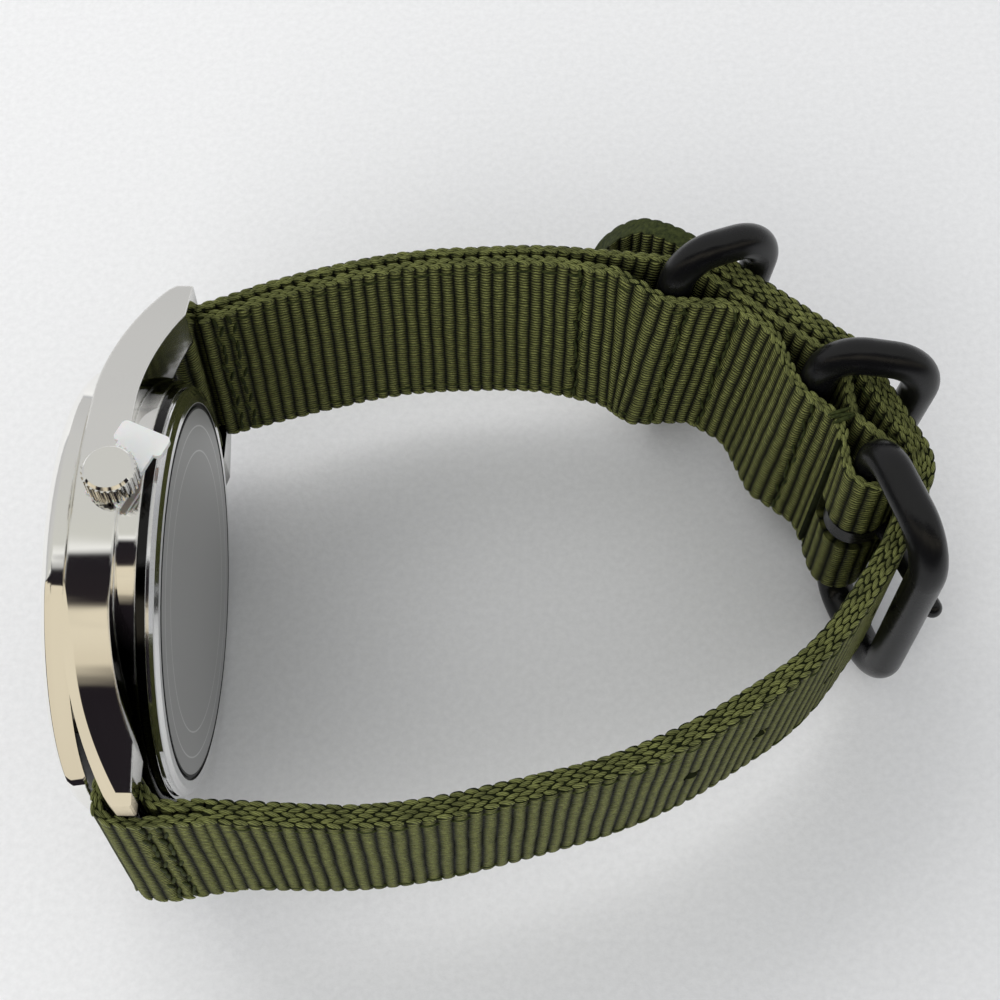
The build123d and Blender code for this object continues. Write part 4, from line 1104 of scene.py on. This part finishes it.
# %% Floor
FLOOR_SIZE = 3.0
bezel, buckle = Vector((-7.4, 0.0, -19.58)), Vector((61.0, 3.5, -14.72))
ring = Vector((47.0, 29.0, -13.92))
upward = (buckle - bezel).cross(ring - bezel).normalized()
print("floor leans", round(math.degrees(upward.angle(Vector((0, 0, 1)))), 2), "degrees")
bpy.ops.mesh.primitive_plane_add(size=FLOOR_SIZE, location=bezel * MM)
floor = bpy.context.active_object
floor.name = "floor"
floor.rotation_mode = "QUATERNION"
floor.rotation_quaternion = Vector((0, 0, 1)).rotation_difference(upward)
sheet, tree, shader = new_material("pale floor", (0.80, 0.80, 0.80), 0.0, 0.8)
nap = marks(tree, object_space(tree), 1500.0, 0.0, 1.0)
tint(tree, shader, nap, (0.765, 0.765, 0.765), (0.83, 0.83, 0.83))
bump(tree, shader, nap, 0.15, 0.1 * MM)
floor.data.materials.append(sheet)

# %% [markdown]
# The light is soft daylight from behind and from the left. Polished steel looks like what it mirrors,
# so rays that come off a gloss see a room: pale overhead, a dark band where someone stands at the
# table, a warm wall and a dark table edge. A band begins at an angle of the ray from straight up, in
# degrees towards the near side, and noise makes its border ragged. All other rays see one plain sky.

# %% The room in the gloss
ROOM_BANDS = (
    (-180, (0.45, 0.45, 0.45)), (-60, (0.60, 0.60, 0.60)), (4, (0.64, 0.64, 0.60)),
    (10, (0.92, 0.92, 0.90)), (13, (0.015, 0.013, 0.016)), (32, (0.02, 0.016, 0.018)),
    (34, (0.78, 0.70, 0.54)), (50, (0.70, 0.62, 0.47)), (53, (0.014, 0.011, 0.014)),
    (140, (0.02, 0.018, 0.02)),
)
SKY = (0.655, 0.668, 0.690)
RAGGED = 0.7

world = bpy.data.worlds.new("soft room")
bpy.context.scene.world = world
world.use_nodes = True
tree = world.node_tree
background = tree.nodes["Background"]
way = object_space(tree)
x, y, z = parts_of(tree, way)
over = calc(tree, "ARCTAN2", product(tree, y, -1.0), z)
noise = noise_node(tree, way, 3.0, 2.6).outputs["Fac"]
shift = product(tree, calc(tree, "SUBTRACT", noise, 0.5), RAGGED)
over = calc(tree, "ADD", over, shift)
turn_share = calc(tree, "ADD", calc(tree, "DIVIDE", over, 2 * math.pi), 0.5)
room = tree.nodes.new("ShaderNodeValToRGB")
room.color_ramp.elements.remove(room.color_ramp.elements[1])
for number, (angle, color) in enumerate(ROOM_BANDS):
    share = angle / 360 + 0.5
    element = room.color_ramp.elements[0] if number == 0 else room.color_ramp.elements.new(share)
    element.position = share
    element.color = (*color, 1.0)
tree.links.new(turn_share, room.inputs["Fac"])
rays = tree.nodes.new("ShaderNodeLightPath")
seen = tree.nodes.new("ShaderNodeMix")
seen.data_type = "RGBA"
seen.inputs["A"].default_value = (*SKY, 1.0)
tree.links.new(rays.outputs["Is Glossy Ray"], seen.inputs["Factor"])
tree.links.new(room.outputs["Color"], seen.inputs["B"])
tree.links.new(seen.outputs["Result"], background.inputs["Color"])
print("the room has", len(ROOM_BANDS), "stops")

# %% [markdown]
# Of two large soft lights, the window behind gives the shadow in front of the strap, and a weaker one
# fills the near side. The steel does not mirror them, because it already sees the room.


# %% Lights
def soft_light(name, place, aim, size, power, color):
    """A square area light that points at a place and stays out of mirror images."""
    bpy.ops.object.light_add(type="AREA", location=place)
    lamp = bpy.context.active_object
    lamp.name = name
    lamp.data.size = size
    lamp.data.energy = power
    lamp.data.color = color
    lamp.rotation_euler = (Vector(aim) - Vector(place)).to_track_quat("-Z", "Y").to_euler()
    lamp.visible_glossy = False
    print(name, "shines with", power, "W")


soft_light("window", (-0.22, 0.34, 0.36), (0.02, 0.02, 0.0), 0.50, 1.5, (1.0, 0.985, 0.96))
soft_light("fill", (-0.16, -0.40, 0.24), (0.03, 0.0, 0.0), 0.34, 0.92, (1.0, 0.985, 0.955))

# %% [markdown]
# The camera was fitted to the ellipses of the case and the edges of the strap in the photograph. It
# looks down steeply from the 6 o'clock side, rolled a little.

# %% Camera
PLACE = (0.0271, -0.0652, 0.1366)
DOWN, YAW, ROLL = math.radians(61.3), math.radians(-0.2), math.radians(0.5)
LENS, SENSOR = 60.95, 36.0

bpy.ops.object.camera_add(location=PLACE)
camera = bpy.context.active_object
level_way = Vector((math.sin(YAW), math.cos(YAW), 0))
ahead = level_way * math.cos(DOWN) - Vector((0, 0, math.sin(DOWN)))
right = Vector((math.cos(YAW), -math.sin(YAW), 0))
above = right.cross(ahead)
rolled_right = right * math.cos(ROLL) + above * math.sin(ROLL)
rolled_above = above * math.cos(ROLL) - right * math.sin(ROLL)
camera.rotation_euler = Matrix((rolled_right, rolled_above, -ahead)).transposed().to_euler()
camera.data.lens = LENS
camera.data.sensor_width = SENSOR
camera.data.clip_start = 5.0 * MM
bpy.context.scene.camera = camera
bpy.context.scene.view_settings.view_transform = "Standard"
print("camera looks down by", round(math.degrees(DOWN), 1), "degrees with a lens of", LENS, "mm")
